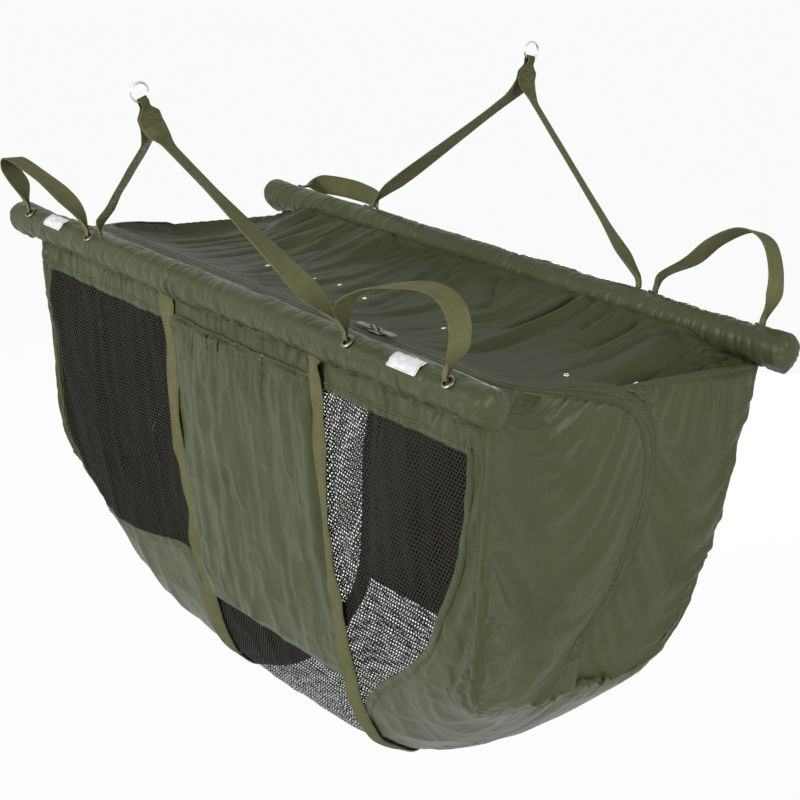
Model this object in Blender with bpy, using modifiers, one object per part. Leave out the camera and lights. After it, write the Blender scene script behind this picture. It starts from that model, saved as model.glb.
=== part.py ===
"""Floating retainer sling: a zipped bag of cloth and mesh hung between two foam floats.

Units are metres and +Z is up. X runs along the floats and the front float is on the -Y side. The bag
has a frame of its own, with its origin midway between the two float axes. The world origin lies above
it, at the height of the two hanging rings, where one hook gathers them.
"""

import math

import bmesh
import bpy
from mathutils import Matrix, Vector

# Floats
FLOAT_LENGTH = 0.900
FLOAT_SPACING = 0.360
FOAM_DIAMETER = 0.0316
SLEEVE_WALL = 0.0015
CAP_THICKNESS = 0.0015
FOAM_SHORT = 0.0140

# Cloth, webbing and the gap kept between touching pieces
CLOTH = 0.0012
NET_CLOTH = 0.0010
GAP = 0.0004
WEBBING_WIDTH = 0.0250
WEBBING_THICKNESS = 0.0018

# Bag: depth under the sleeves at the end walls, and how much deeper the belly hangs
END_DEPTH = 0.2900
BELLY_DROP = 0.1680

# Seams of the end walls, as shares of the float's half length, at the sleeve and at the base; the front
# right one turns in only near its foot, and this power says how late
RIGHT_SEAM_TOP = 0.987
RIGHT_SEAM_BASE = 0.912
RIGHT_SEAM_TURN = 5.0
LEFT_SEAM_TOP = 0.865
LEFT_SEAM_BASE = 0.820
BACK_SEAM = 0.907

# How the left end is drawn in, and how square the belly is towards each end
LEFT_TUCK = 0.0140
RIGHT_FULLNESS = 2.9
LEFT_FULLNESS = 5.5

# Lid: how far it sags, and how its edges turn under the sleeves towards the ends
LID_LEVEL = -0.0040
LID_SAG = 0.0110
LID_TURN = 78.0
LID_FLAT_SHARE = 0.80

# Zip: half width of the closed tapes, coil, and where the sliders meet
TAPE_HALF = 0.0080
TAPE_THICKNESS = 0.0010
COIL_HALF = 0.0026
COIL_HEIGHT = 0.0012
SLIDERS_SHARE = 0.430

# Webbing holes along the float, as shares of its half length, and their angle outwards from straight up
HANGER_SHARE = 0.520
HANGER_ANGLE = 19.3
HANDLE_INNER_SHARE = 0.556
HANDLE_OUTER_SHARE = 0.882
HANDLE_ANGLE = 45.0
HOLE_DIAMETER = 0.0106
SLIT_LENGTH = 0.0090
SLIT_WIDTH = 0.0030
EYELET_OUTER = 0.0140
EYELET_BORE = 0.0084
EYELET_LIP = 0.0012
EYELET_NECK = 0.0018

# Gathered webbing at a hole: its size across the swing, along the float, and where it is full again
GATHERED_ACROSS = 0.0020
GATHERED_ALONG = 0.0070
GATHER_HEIGHT = 0.0340
PIVOT_CLEARANCE = 0.0018
PIVOT_TAIL = 0.0011

# Hangers and rings: how far each hanger leans outwards at rest, and its sizes
FRONT_LEAN = 22.8
BACK_LEAN = 10.2
FRONT_HANGER_HEIGHT = 0.1960
BACK_HANGER_HEIGHT = 0.2080
SEWN_HEIGHT = 0.0300
RING_MEAN_RADIUS = 0.0095
RING_WIRE = 0.0012
FOLD_RADIUS = 0.0038
FOLD_WIDTH = 0.0090

# Straps under the bag, as shares of the float's half length: half their spacing, and their middle
STRAP_HALF_SHARE = 0.3125
STRAP_MIDDLE = [0.092, 0.102, 0.106, 0.120, 0.117, 0.101, 0.105]
BACK_STRAP_MIDDLE = [-0.110, -0.110, -0.095, -0.050, 0.050, 0.095, 0.105]

# Labels
LABEL_SHARE = 0.745
LABEL_LENGTH = 0.0420
LABEL_ANGLES = (8.0, 66.0)
LABEL_THICKNESS = 0.0008

# Zip slider and pull
SLIDER_LENGTH = 0.0110
SLIDER_WIDTH = 0.0092
SLIDER_WALL = 0.0012
BRIDGE_INSIDE = 0.0026
BRIDGE_WALL = 0.0012
BRIDGE_WIDTH = 0.0030
PULL_LENGTH = 0.0250
PULL_WIDTH = 0.0080
PULL_THICKNESS = 0.0012
PULL_EYE = 0.0044

# Worked out from the sizes above
HALF_LENGTH = FLOAT_LENGTH / 2
HALF_SPACING = FLOAT_SPACING / 2
FOAM_RADIUS = FOAM_DIAMETER / 2
SLEEVE_INNER = FOAM_RADIUS + GAP
SLEEVE_OUTER = SLEEVE_INNER + SLEEVE_WALL
WALL_TOP = -(SLEEVE_OUTER + 2 * GAP)
BASE_Z = WALL_TOP - END_DEPTH
HANGER_PIVOT = SLEEVE_OUTER + PIVOT_CLEARANCE
HANDLE_PIVOT = SLEEVE_OUTER + GAP + EYELET_LIP + PIVOT_CLEARANCE
RING_REACH = HANGER_PIVOT + FRONT_HANGER_HEIGHT + FOLD_RADIUS + RING_MEAN_RADIUS
RING_RISE = RING_REACH * math.cos(math.radians(FRONT_LEAN))
HINGE_BELOW = 0.0055

# Wall sections from the sleeve to the fold: shares of the half spacing, of the depth at that place
FRONT_END_SECTION = [(-1.000, 0.00), (-1.010, 0.27), (-1.010, 0.57), (-0.975, 0.810), (-0.870, 0.935),
                     (-0.600, 0.985), (-0.244, 1.00)]
FRONT_MID_SECTION = [(-1.000, 0.00), (-0.990, 0.176), (-0.935, 0.363), (-0.830, 0.549), (-0.715, 0.736),
                     (-0.540, 0.905), (-0.244, 1.00)]
BACK_END_SECTION = [(1.000, 0.00), (0.955, 0.148), (0.861, 0.397), (0.739, 0.630), (0.578, 0.866),
                    (0.300, 0.990), (-0.244, 1.00)]
BACK_MID_SECTION = [(1.000, 0.00), (1.010, 0.200), (0.955, 0.420), (0.840, 0.630), (0.640, 0.820),
                    (0.250, 0.955), (-0.244, 1.00)]
FOLD_Y = FRONT_MID_SECTION[-1][0] * HALF_SPACING
HINGE_Z = BASE_Z - BELLY_DROP - HINGE_BELOW

# Where the top band ends and the net begins along a section, and the edges of the net on both sides
BAND_SHARE = 0.055
BAND_SPLIT = 0.0016
PANEL_TOP_SHARE = 0.044
FRONT_NET = ([-0.800, -0.805, -0.805, -0.800, -0.780, -0.710, -0.480, -0.270, -0.220, -0.210],
             [0.928, 0.925, 0.911, 0.860, 0.797, 0.692, 0.530, 0.430, 0.420, 0.415])
BACK_NET = ([-0.800, -0.805, -0.805, -0.800, -0.785, -0.750, -0.620, -0.360, -0.240, -0.205],
            [0.795, 0.800, 0.805, 0.800, 0.785, 0.750, 0.640, 0.490, 0.430, 0.415])

# The zip from where it leaves its straight run to its foot: out from the end seam in metres, shares of
# the half spacing and of the end depth, and how far the tape leans outwards in degrees
ZIP_TURN = [(-0.075, -0.656, None, 0), (-0.043, -0.652, None, 2), (-0.019, -0.600, 0.005, 12),
            (-0.006, -0.445, 0.018, 28), (0.001, -0.240, 0.038, 40), (0.006, -0.040, 0.066, 55),
            (0.0085, 0.100, 0.130, 74), (0.009, 0.178, 0.222, 86), (0.0085, 0.206, 0.335, 90),
            (0.007, 0.172, 0.495, 90), (0.005, 0.078, 0.665, 90), (0.004, -0.044, 0.775, 90),
            (0.003, -0.178, 0.870, 90), (0.0025, -0.236, 0.938, 90), (0.002, -0.244, 0.994, 90)]
TURN_CORNER = 2
TURN_CREASE = 5
EDGE_NUDGE = 0.03
SEAM_GAP = 0.0013

# Handles as (share of the half length, height over the pivots): the drawn loop, ends left out
HANDLE_PATHS = {
    "front_right": [(0.565, 0.036), (0.650, 0.057), (0.754, 0.071), (0.848, 0.078), (0.906, 0.073),
                    (0.932, 0.054), (0.920, 0.028)],
    "front_left": [(-0.600, 0.022), (-0.720, 0.040), (-0.850, 0.051), (-0.985, 0.057), (-1.000, 0.044),
                   (-0.930, 0.028)],
    "back_right": [(0.570, 0.020), (0.645, 0.041), (0.703, 0.066), (0.791, 0.084), (0.862, 0.080),
                   (0.900, 0.056), (0.905, 0.028)],
    "back_left": [(-0.590, 0.024), (-0.650, 0.038), (-0.720, 0.045), (-0.800, 0.046), (-0.870, 0.038),
                  (-0.900, 0.022)],
}
HANDLE_LEAN = {"front_right": -38.0, "front_left": -45.0, "back_right": -35.0, "back_left": 45.0}

# Divisions of the grids
WALL_ROWS = 15
PANEL_ROWS = 10
NET_COLUMNS = 16
BORDER_COLUMNS = 4
PANEL_COLUMNS = 8
END_COLUMNS = 6
STRAIGHT_STEPS = 9
ROUND_STEPS = 28
STATIONS_PER_TURN = 2

# Colours, as linear values
NYLON = (0.085, 0.098, 0.052)
NYLON_LIGHT = (0.105, 0.120, 0.064)
OLIVE_WEBBING = (0.130, 0.140, 0.068)
NET_BLACK = (0.018, 0.017, 0.014)
STEEL = (0.62, 0.62, 0.60)
FOAM_GREY = (0.32, 0.33, 0.32)
LABEL_WHITE = (0.78, 0.78, 0.80)

BAG_MIDDLE = Vector((0.0, 0.0, BASE_Z / 2))
X_AXIS = Vector((1.0, 0.0, 0.0))


# Scene, collections, materials and empties

for item in list(bpy.data.objects):
    bpy.data.objects.remove(item, do_unlink=True)


def new_collection(name):
    group = bpy.data.collections.new(name)
    bpy.context.scene.collection.children.link(group)
    return group


PARTS = new_collection("floating_retainer_sling")
CUTTERS = new_collection("cutters")


def material(name, colour, roughness, metallic):
    made = bpy.data.materials.new(name)
    made.use_nodes = True
    shader = made.node_tree.nodes["Principled BSDF"]
    shader.inputs["Base Color"].default_value = (*colour, 1.0)
    shader.inputs["Roughness"].default_value = roughness
    shader.inputs["Metallic"].default_value = metallic
    return made


EMPTIES = {}
PLACES = {}


def empty(name, place, parent=None):
    """An empty at a place given in the bag's frame, as a child of an empty made before it."""
    made = bpy.data.objects.new(f"axis_{name}", None)
    made.empty_display_size = 0.02
    PARTS.objects.link(made)
    place = Vector(place)
    if parent:
        made.parent = EMPTIES[parent]
        made.location = place - PLACES[parent]
    EMPTIES[name] = made
    PLACES[name] = place
    return made


def add_object(name, mesh, look, carrier):
    """Hangs a mesh drawn in the bag's frame on its carrier, with its origin at the carrier's place."""
    colour, roughness, metallic = look
    made = bpy.data.objects.new(name, mesh)
    PARTS.objects.link(made)
    made.parent = EMPTIES[carrier]
    mesh.transform(Matrix.Translation(-PLACES[carrier]))
    mesh.materials.append(material(name, colour, roughness, metallic))
    return made


CLOTH_LOOK = (NYLON, 0.55, 0.0)
LIGHT_CLOTH_LOOK = (NYLON_LIGHT, 0.55, 0.0)
NET_LOOK = (NET_BLACK, 0.75, 0.0)
WEBBING_LOOK = (OLIVE_WEBBING, 0.85, 0.0)
STEEL_LOOK = (STEEL, 0.25, 1.0)
FOAM_LOOK = (FOAM_GREY, 0.90, 0.0)
LABEL_LOOK = (LABEL_WHITE, 0.60, 0.0)


# Shapes

def smooth(low, high, value):
    share = min(1.0, max(0.0, (value - low) / (high - low)))
    return share * share * (3.0 - 2.0 * share)


def spline(points, share):
    """A smooth curve through the points, which lie at even steps of share from 0 to 1."""
    count = len(points) - 1
    reach = min(max(share, 0.0), 1.0) * count
    start = min(int(reach), count - 1)
    t = reach - start
    p1 = points[start]
    p2 = points[start + 1]
    p0 = points[start - 1] if start > 0 else p1 * 2 - p2
    p3 = points[start + 2] if start + 2 <= count else p2 * 2 - p1
    return (p1 * 2 + (p2 - p0) * t + (p0 * 2 - p1 * 5 + p2 * 4 - p3) * t * t
            + (p1 * 3 - p0 - p2 * 3 + p3) * t * t * t) * 0.5


def by_length(points):
    """The points as a function of share of the length, in straight pieces."""
    reach = [0.0]
    for first, second in zip(points, points[1:]):
        reach.append(reach[-1] + (second - first).length)

    def at(share):
        wanted = share * reach[-1]
        for index in range(1, len(points)):
            if wanted <= reach[index]:
                step = reach[index] - reach[index - 1]
                return points[index - 1].lerp(points[index], (wanted - reach[index - 1]) / step)
        return points[-1]

    return at


def by_steps(points):
    """The points as a function of share of their count, in straight pieces."""
    def at(share):
        reach = share * (len(points) - 1)
        start = min(int(reach + 1e-6), len(points) - 2)
        return points[start].lerp(points[start + 1], reach - start)

    return at


def patch(first, last, start, end):
    """Fills the space between four curves: first and last run along b, start and end along a."""
    def at(a, b):
        flat = (start(0.0) * (1 - a) * (1 - b) + start(1.0) * a * (1 - b)
                + end(0.0) * (1 - a) * b + end(1.0) * a * b)
        return first(b) * (1 - a) + last(b) * a + start(a) * (1 - b) + end(a) * b - flat

    return at


def mapped_sheet(name, columns, rows, place, thickness, look, carrier="bag_frame"):
    """A grid bent to place(a, b) with a and b from 0 to 1, made thick away from the bag's middle."""
    work = bmesh.new()
    bmesh.ops.create_grid(work, x_segments=columns, y_segments=rows, size=0.5)
    for vertex in work.verts:
        vertex.co = place(vertex.co.x + 0.5, vertex.co.y + 0.5)
    work.normal_update()
    facing = sum(face.normal.dot(face.calc_center_median() - BAG_MIDDLE) * face.calc_area()
                 for face in work.faces)
    if facing < 0:
        bmesh.ops.reverse_faces(work, faces=work.faces)
    mesh = bpy.data.meshes.new(name)
    work.to_mesh(mesh)
    work.free()
    made = add_object(name, mesh, look, carrier)
    thick = made.modifiers.new("thickness", "SOLIDIFY")
    thick.thickness = thickness
    thick.offset = 1.0
    thick.use_even_offset = True
    return made


def lofted(name, sections, look, carrier):
    """A closed solid through sections of equal point count, capped at both ends."""
    work = bmesh.new()
    rings = [[work.verts.new(point) for point in section] for section in sections]
    count = len(rings[0])
    for lower, upper in zip(rings, rings[1:]):
        for index in range(count):
            after = (index + 1) % count
            work.faces.new((lower[index], lower[after], upper[after], upper[index]))
    work.faces.new(rings[0][::-1])
    work.faces.new(rings[-1])
    bmesh.ops.recalc_face_normals(work, faces=work.faces)
    mesh = bpy.data.meshes.new(name)
    work.to_mesh(mesh)
    work.free()
    return add_object(name, mesh, look, carrier)


def drum(name, length, radius, middle, axis="X", steps=ROUND_STEPS):
    """A plain cylinder mesh in the bag's frame, along X or Z."""
    work = bmesh.new()
    bmesh.ops.create_cone(work, cap_ends=True, segments=steps, radius1=radius, radius2=radius, depth=length)
    if axis == "X":
        bmesh.ops.rotate(work, verts=work.verts, matrix=Matrix.Rotation(math.pi / 2, 3, "Y"))
    bmesh.ops.translate(work, verts=work.verts, vec=middle)
    mesh = bpy.data.meshes.new(name)
    work.to_mesh(mesh)
    work.free()
    return mesh


def block_mesh(name, low, high):
    work = bmesh.new()
    bmesh.ops.create_cube(work, size=1.0)
    low = Vector(low)
    high = Vector(high)
    for vertex in work.verts:
        share = vertex.co + Vector((0.5, 0.5, 0.5))
        vertex.co = Vector([low[i] + (high[i] - low[i]) * share[i] for i in range(3)])
    mesh = bpy.data.meshes.new(name)
    work.to_mesh(mesh)
    work.free()
    return mesh


def add_cutter(name, mesh, carrier):
    made = bpy.data.objects.new(name, mesh)
    CUTTERS.objects.link(made)
    made.parent = EMPTIES[carrier]
    mesh.transform(Matrix.Translation(-PLACES[carrier]))
    made.hide_render = True
    made.display_type = "WIRE"
    return made


def cut(target, cutter, operation="DIFFERENCE"):
    change = target.modifiers.new(cutter.name, "BOOLEAN")
    change.operation = operation
    change.solver = "EXACT"
    change.object = cutter


# The bag's walls

def seam_x(side, end, depth_share):
    """The end seam's place along the float: side -1 is the front wall, end 1 is the right end."""
    if end < 0:
        return left_seam(depth_share) * HALF_LENGTH
    if side > 0:
        return BACK_SEAM * HALF_LENGTH
    turned_in = max(depth_share, 0.0) ** RIGHT_SEAM_TURN
    return (RIGHT_SEAM_TOP + (RIGHT_SEAM_BASE - RIGHT_SEAM_TOP) * turned_in) * HALF_LENGTH


def left_seam(depth_share):
    return LEFT_SEAM_TOP + (LEFT_SEAM_BASE - LEFT_SEAM_TOP) * depth_share


def section_at(points, share):
    return spline([Vector((y, z, 0.0)) for y, z in points], share)


def bare_wall(side, u, share):
    """Inner face of a wall: u runs from -1 at the left seam to 1 at the right, share down to the fold."""
    ends = FRONT_END_SECTION if side < 0 else BACK_END_SECTION
    middles = FRONT_MID_SECTION if side < 0 else BACK_MID_SECTION
    at_end = section_at(ends, share)
    at_middle = section_at(middles, share)
    fullness = RIGHT_FULLNESS if u > 0 else LEFT_FULLNESS
    belly = 1.0 - abs(u) ** fullness
    end_z = WALL_TOP - END_DEPTH * at_end.y
    middle_z = WALL_TOP - (END_DEPTH + BELLY_DROP) * at_middle.y
    y = (at_end.x + (at_middle.x - at_end.x) * belly) * HALF_SPACING
    z = end_z + (middle_z - end_z) * belly
    if side < 0:
        drawn_in = smooth(0.70, 1.0, -u) * smooth(0.05, 0.55, at_end.y)
        y += LEFT_TUCK * drawn_in * smooth(-0.25, -0.60, at_end.x)
    y += side * GAP / 2 * share
    return Vector((u * seam_x(side, u, at_end.y), y, z))


def wall(side, u, share, out=0.0):
    """A point of a wall moved outwards from its inner face."""
    place = bare_wall(side, u, share)
    if not out:
        return place
    step = 0.004
    low_u, high_u = max(u - step, -1.0), min(u + step, 1.0)
    low_s, high_s = max(share - step, 0.0), min(share + step, 1.0)
    along = bare_wall(side, high_u, share) - bare_wall(side, low_u, share)
    down = bare_wall(side, u, high_s) - bare_wall(side, u, low_s)
    normal = along.cross(down).normalized() * side
    return place + normal * out


def u_of(side, x_share, share):
    """Turns a share of the float's half length into u at this depth."""
    points = FRONT_END_SECTION if side < 0 else BACK_END_SECTION
    return x_share * HALF_LENGTH / seam_x(side, x_share, section_at(points, share).y)


def share_in(values, share):
    return spline([Vector((value, 0.0, 0.0)) for value in values], share).x


def below_band(b):
    return BAND_SHARE + (1.0 - BAND_SHARE) * b


# Depths of the rows that the panel and the straps share with the net, so that their facets lie parallel
ROW_SHARES = [0.0, PANEL_TOP_SHARE] + [below_band(row / WALL_ROWS) for row in range(WALL_ROWS + 1)]


def build_wall(side, name, carrier):
    """One wall: a band under the sleeve, the net, a panel over its middle, two borders, two straps."""
    middle = STRAP_MIDDLE if side < 0 else BACK_STRAP_MIDDLE
    net_left, net_right = FRONT_NET if side < 0 else BACK_NET

    def band(a, b):
        return wall(side, 2 * a - 1, (BAND_SHARE - BAND_SPLIT) * b)

    mapped_sheet(f"top_band_{name}", NET_COLUMNS, 2, band, CLOTH, CLOTH_LOOK, carrier)

    def net(a, b):
        low = u_of(side, share_in(net_left, b), below_band(b))
        high = u_of(side, share_in(net_right, b), below_band(b))
        return wall(side, low + (high - low) * a, below_band(b))

    mapped_sheet(f"net_{name}", NET_COLUMNS, WALL_ROWS, net, NET_CLOTH, NET_LOOK, carrier)

    def border(end, a, b):
        edge = share_in(net_right if end > 0 else net_left, b)
        inner = u_of(side, edge, below_band(b)) + end * 2 * GAP / (HALF_LENGTH * BACK_SEAM)
        return wall(side, inner + (end - inner) * a, below_band(b))

    for end, end_name in ((-1, "left"), (1, "right")):
        mapped_sheet(f"border_{name}_{end_name}", BORDER_COLUMNS, WALL_ROWS,
                     lambda a, b, end=end: border(end, a, b), CLOTH, CLOTH_LOOK, carrier)

    def strap_centre(end, share):
        return share_in(middle, share) + end * STRAP_HALF_SHARE

    panel_out = NET_CLOTH + GAP
    strap_out = max(panel_out, CLOTH + GAP) + CLOTH + GAP

    def panel(a, b):
        share = ROW_SHARES[1 + round(b * (PANEL_ROWS + 1))]
        low = u_of(side, strap_centre(-1, share), share)
        high = u_of(side, strap_centre(1, share), share)
        return wall(side, low + (high - low) * a, share, max(panel_out, CLOTH + GAP))

    mapped_sheet(f"centre_panel_{name}", PANEL_COLUMNS, PANEL_ROWS + 1, panel, CLOTH, LIGHT_CLOTH_LOOK,
                 carrier)

    def strap(end, a, b):
        share = ROW_SHARES[round(b * (len(ROW_SHARES) - 1))]
        x_share = strap_centre(end, share) + (a - 0.5) * WEBBING_WIDTH / HALF_LENGTH
        return wall(side, u_of(side, x_share, share), share, strap_out)

    for end, end_name in ((-1, "left"), (1, "right")):
        mapped_sheet(f"strap_{name}_{end_name}", 2, len(ROW_SHARES) - 1,
                     lambda a, b, end=end: strap(end, a, b), WEBBING_THICKNESS, WEBBING_LOOK, carrier)


# The zip's line

def zip_half(end):
    """Centre points and outward directions from the zip's straight run to its foot at one end."""
    half = []
    for out, y_share, z_share, lean in ZIP_TURN:
        seam = (BACK_SEAM if end > 0 else left_seam(z_share or 0.0)) * HALF_LENGTH
        z = LID_LEVEL if z_share is None else LID_LEVEL - END_DEPTH * z_share
        tilt = math.radians(lean)
        half.append((Vector((end * (seam + out), y_share * HALF_SPACING, max(z, BASE_Z + 0.002))),
                     Vector((end * math.sin(tilt), 0.0, math.cos(tilt)))))
    return half


ZIP_HALVES = {-1: zip_half(-1), 1: zip_half(1)}
TURN_STEPS = len(ZIP_TURN) - 1


def zip_frame(end, position):
    """Point, outward direction and direction to the front, at a position counted in control points."""
    places = [place for place, _ in ZIP_HALVES[end]]
    leans = [lean for _, lean in ZIP_HALVES[end]]
    share = position / TURN_STEPS
    step = 0.05 / TURN_STEPS
    place = spline(places, share)
    along = (spline(places, min(share + step, 1.0)) - spline(places, max(share - step, 0.0))) * end
    lean = spline(leans, share)
    along.normalize()
    lean = (lean - along * lean.dot(along)).normalized()
    return place, lean, along.cross(lean).normalized()


def turn_positions(end, first, last):
    """Positions from first to last at the tape's own sections, so that both share their corners."""
    steps = max(1, round(abs(last - first) * STATIONS_PER_TURN))
    return [(end, first + (last - first) * index / steps) for index in range(steps + 1)]


def zip_edge(positions, side):
    """The cloth's edge beside the zip: side -1 is the front edge."""
    points = []
    for end, position in positions:
        place, _, front = zip_frame(end, position)
        points.append(place - front * side * (TAPE_HALF + GAP))
    return points


def zip_over_lid(corner):
    """Positions from the left corner over the lid to the right corner, with the straight run in steps."""
    return turn_positions(-1, corner, 0.0), turn_positions(1, 0.0, corner)


def edge_over_lid(corner, side):
    left, right = (zip_edge(positions, side) for positions in zip_over_lid(corner))
    straight_run = [left[-1].lerp(right[0], index / STRAIGHT_STEPS) for index in range(1, STRAIGHT_STEPS)]
    return left + straight_run + right


def build_tape(name, side, carrier):
    inner = 0.0002
    outline = [(inner, 0.0), (TAPE_HALF, 0.0), (TAPE_HALF, TAPE_THICKNESS), (COIL_HALF, TAPE_THICKNESS),
               (COIL_HALF * 0.8, TAPE_THICKNESS + COIL_HEIGHT), (inner, TAPE_THICKNESS + COIL_HEIGHT)]
    sections = []
    for end, position in turn_positions(-1, TURN_STEPS, 0.0) + turn_positions(1, 0.0, TURN_STEPS):
        place, lean, front = zip_frame(end, position)
        sections.append([place - front * side * across + lean * up for across, up in outline])
    lofted(name, sections, LIGHT_CLOTH_LOOK, carrier)


# End walls, lid and the strip in front of the zip

def seam_curve(side, end, stop_y):
    """The end wall's outer edge, just outside the wall's seam, down to where its y reaches stop_y."""
    points = []
    steps = 60
    for index in range(steps + 1):
        place = bare_wall(side, end, index / steps)
        if index and side * (stop_y - place.y) > 0:
            break
        points.append(place + X_AXIS * end * SEAM_GAP)
    last = points[-1].copy()
    last.y = stop_y
    if (last - points[-1]).length > 0.001:
        points.append(last)
    return by_length(points)


def sleeve_line(side, xs):
    """The lid's edge along a sleeve: at its side, and turning under it towards both ends."""
    points = []
    reach = max(abs(xs[0]), abs(xs[-1]))
    for x in xs:
        turn = math.radians(LID_TURN * smooth(LID_FLAT_SHARE, 1.0, abs(x) / reach))
        radius = SLEEVE_OUTER + 2.5 * GAP + CLOTH * math.sin(turn)
        points.append(Vector((x, side * (HALF_SPACING - radius * math.cos(turn)), -radius * math.sin(turn))))
    return points


def straight(first, last):
    return lambda share: first.lerp(last, share)


def build_ends():
    foot_clear = TAPE_HALF + 2 * GAP
    for end, end_name in ((-1, "left"), (1, "right")):
        walls = ((-1, "front", TURN_CORNER, "front_half"), (1, "back", TURN_CREASE, "bag_frame"))
        for side, side_name, start, carrier in walls:
            outer = seam_curve(side, end, FOLD_Y + side * foot_clear)
            inner_points = zip_edge(turn_positions(end, start + EDGE_NUDGE, TURN_STEPS), side)
            inner = by_steps(inner_points)
            top_edge = straight(outer(0.0), inner(0.0))
            foot_edge = straight(outer(1.0), inner(1.0))
            mapped_sheet(f"end_{side_name}_{end_name}", END_COLUMNS, len(inner_points) - 1,
                         patch(outer, inner, top_edge, foot_edge), CLOTH, CLOTH_LOOK, carrier)


def build_lid():
    """The lid behind the zip, and the strip in front of it."""
    inset = 0.005
    crease_rows = 5
    front = edge_over_lid(TURN_CORNER, 1)
    back = sleeve_line(1, [scaled_x(point.x, front, BACK_SEAM, inset) for point in front])
    sides = []
    for end, corner in ((-1, back[0]), (1, back[-1])):
        down = zip_edge(turn_positions(end, TURN_CORNER, TURN_CREASE - EDGE_NUDGE), 1)
        across = [down[-1].lerp(corner, index / crease_rows) for index in range(1, crease_rows + 1)]
        sides.append(down + across)
    flat = patch(by_steps(sides[0]), by_steps(sides[1]), by_steps(front), by_steps(back))

    def sagging(a, b):
        fall = LID_SAG * (1 - (2 * a - 1) ** 6) * (1 - (2 * b - 1) ** 2)
        return flat(a, b) - Vector((0.0, 0.0, fall))

    mapped_sheet("lid", len(front) - 1, len(sides[0]) - 1, sagging, CLOTH, LIGHT_CLOTH_LOOK)

    zip_front = edge_over_lid(TURN_CORNER - EDGE_NUDGE, -1)
    stretched = [scaled_x(point.x, zip_front, RIGHT_SEAM_TOP, inset) for point in zip_front]
    sleeve = sleeve_line(-1, stretched)
    mapped_sheet("lid_strip", len(zip_front) - 1, 3,
                 patch(straight(sleeve[0], zip_front[0]), straight(sleeve[-1], zip_front[-1]),
                       by_steps(sleeve), by_steps(zip_front)),
                 CLOTH, CLOTH_LOOK, "front_half")


def scaled_x(x, points, right_seam, inset):
    """Stretches a place along the zip to the same share of the way between the seams."""
    if x < 0:
        return x / points[0].x * -(LEFT_SEAM_TOP * HALF_LENGTH - inset)
    return x / points[-1].x * (right_seam * HALF_LENGTH - inset)


# Floats

def radial(side, degrees, radius, x=0.0):
    """A place round a float's axis, at an angle from straight up towards the outside."""
    angle = math.radians(degrees)
    return Vector((x, side * (HALF_SPACING + radius * math.sin(angle)), radius * math.cos(angle)))


def hole_cutter(name, side, degrees, x, mesh, carrier):
    """Turns a cutter drawn about the world's up line onto the float's radius, and moves it there."""
    mesh.transform(Matrix.Rotation(-side * math.radians(degrees), 4, "X"))
    mesh.transform(Matrix.Translation(radial(side, degrees, SLEEVE_OUTER, x)))
    return add_cutter(name, mesh, carrier)


def build_float(side, name, carrier):
    axis = Vector((0.0, side * HALF_SPACING, 0.0))
    sleeve_length = FLOAT_LENGTH - 2 * (CAP_THICKNESS + GAP)
    foam = drum("foam", sleeve_length - 2 * FOAM_SHORT, FOAM_RADIUS, axis)
    add_object(f"foam_{name}", foam, FOAM_LOOK, carrier)
    tube = drum("sleeve", sleeve_length, SLEEVE_OUTER, axis)
    sleeve = add_object(f"sleeve_{name}", tube, CLOTH_LOOK, carrier)
    cut(sleeve, add_cutter(f"bore_{name}", drum("bore", FLOAT_LENGTH, SLEEVE_INNER, axis), carrier))
    depth = 0.004
    for end in (-1, 1):
        cap_middle = axis + X_AXIS * end * (HALF_LENGTH - CAP_THICKNESS / 2)
        end_name = "left" if end < 0 else "right"
        cap = drum("cap", CAP_THICKNESS, SLEEVE_OUTER, cap_middle)
        add_object(f"cap_{name}_{end_name}", cap, CLOTH_LOOK, carrier)
        corner = (SLIT_LENGTH / 2, SLIT_WIDTH / 2, depth)
        slit = block_mesh("slit", [-size for size in corner], corner)
        x = end * HANGER_SHARE * HALF_LENGTH
        cut(sleeve, hole_cutter(f"slit_{name}_{end_name}", side, HANGER_ANGLE, x, slit, carrier))
        for place, share in (("inner", HANDLE_INNER_SHARE), ("outer", HANDLE_OUTER_SHARE)):
            x = end * share * HALF_LENGTH
            label = f"{name}_{end_name}_{place}"
            hole = drum("hole", 2 * depth, HOLE_DIAMETER / 2, (0.0, 0.0, 0.0), "Z", 16)
            cut(sleeve, hole_cutter(f"hole_{label}", side, HANDLE_ANGLE, x, hole, carrier))
            build_eyelet(f"eyelet_{label}", side, x, carrier)


def build_eyelet(name, side, x, carrier):
    """An eyelet: a flat lip over the sleeve and a short neck in its hole, turned round its own axis."""
    neck = HOLE_DIAMETER / 2 - GAP
    bore = EYELET_BORE / 2
    rim = EYELET_OUTER / 2
    profile = [(bore, EYELET_LIP), (bore, -EYELET_NECK), (neck, -EYELET_NECK), (neck, 0.0),
               (rim, 0.0), (rim, EYELET_LIP * 0.5), (rim - 0.001, EYELET_LIP)]
    work = bmesh.new()
    points = [work.verts.new((radius, 0.0, height)) for radius, height in profile]
    for first, second in zip(points, points[1:] + points[:1]):
        work.edges.new((first, second))
    mesh = bpy.data.meshes.new(name)
    work.to_mesh(mesh)
    work.free()
    made = bpy.data.objects.new(name, mesh)
    PARTS.objects.link(made)
    made.parent = EMPTIES[carrier]
    made.location = radial(side, HANDLE_ANGLE, SLEEVE_OUTER + GAP, x) - PLACES[carrier]
    made.rotation_euler = (-side * math.radians(HANDLE_ANGLE), 0.0, 0.0)
    mesh.materials.append(material(name, *STEEL_LOOK))
    turned = made.modifiers.new("turned", "SCREW")
    turned.steps = 12
    turned.render_steps = 12
    turned.use_merge_vertices = True
    turned.merge_threshold = 0.00001
    turned.use_normal_flip = True


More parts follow.
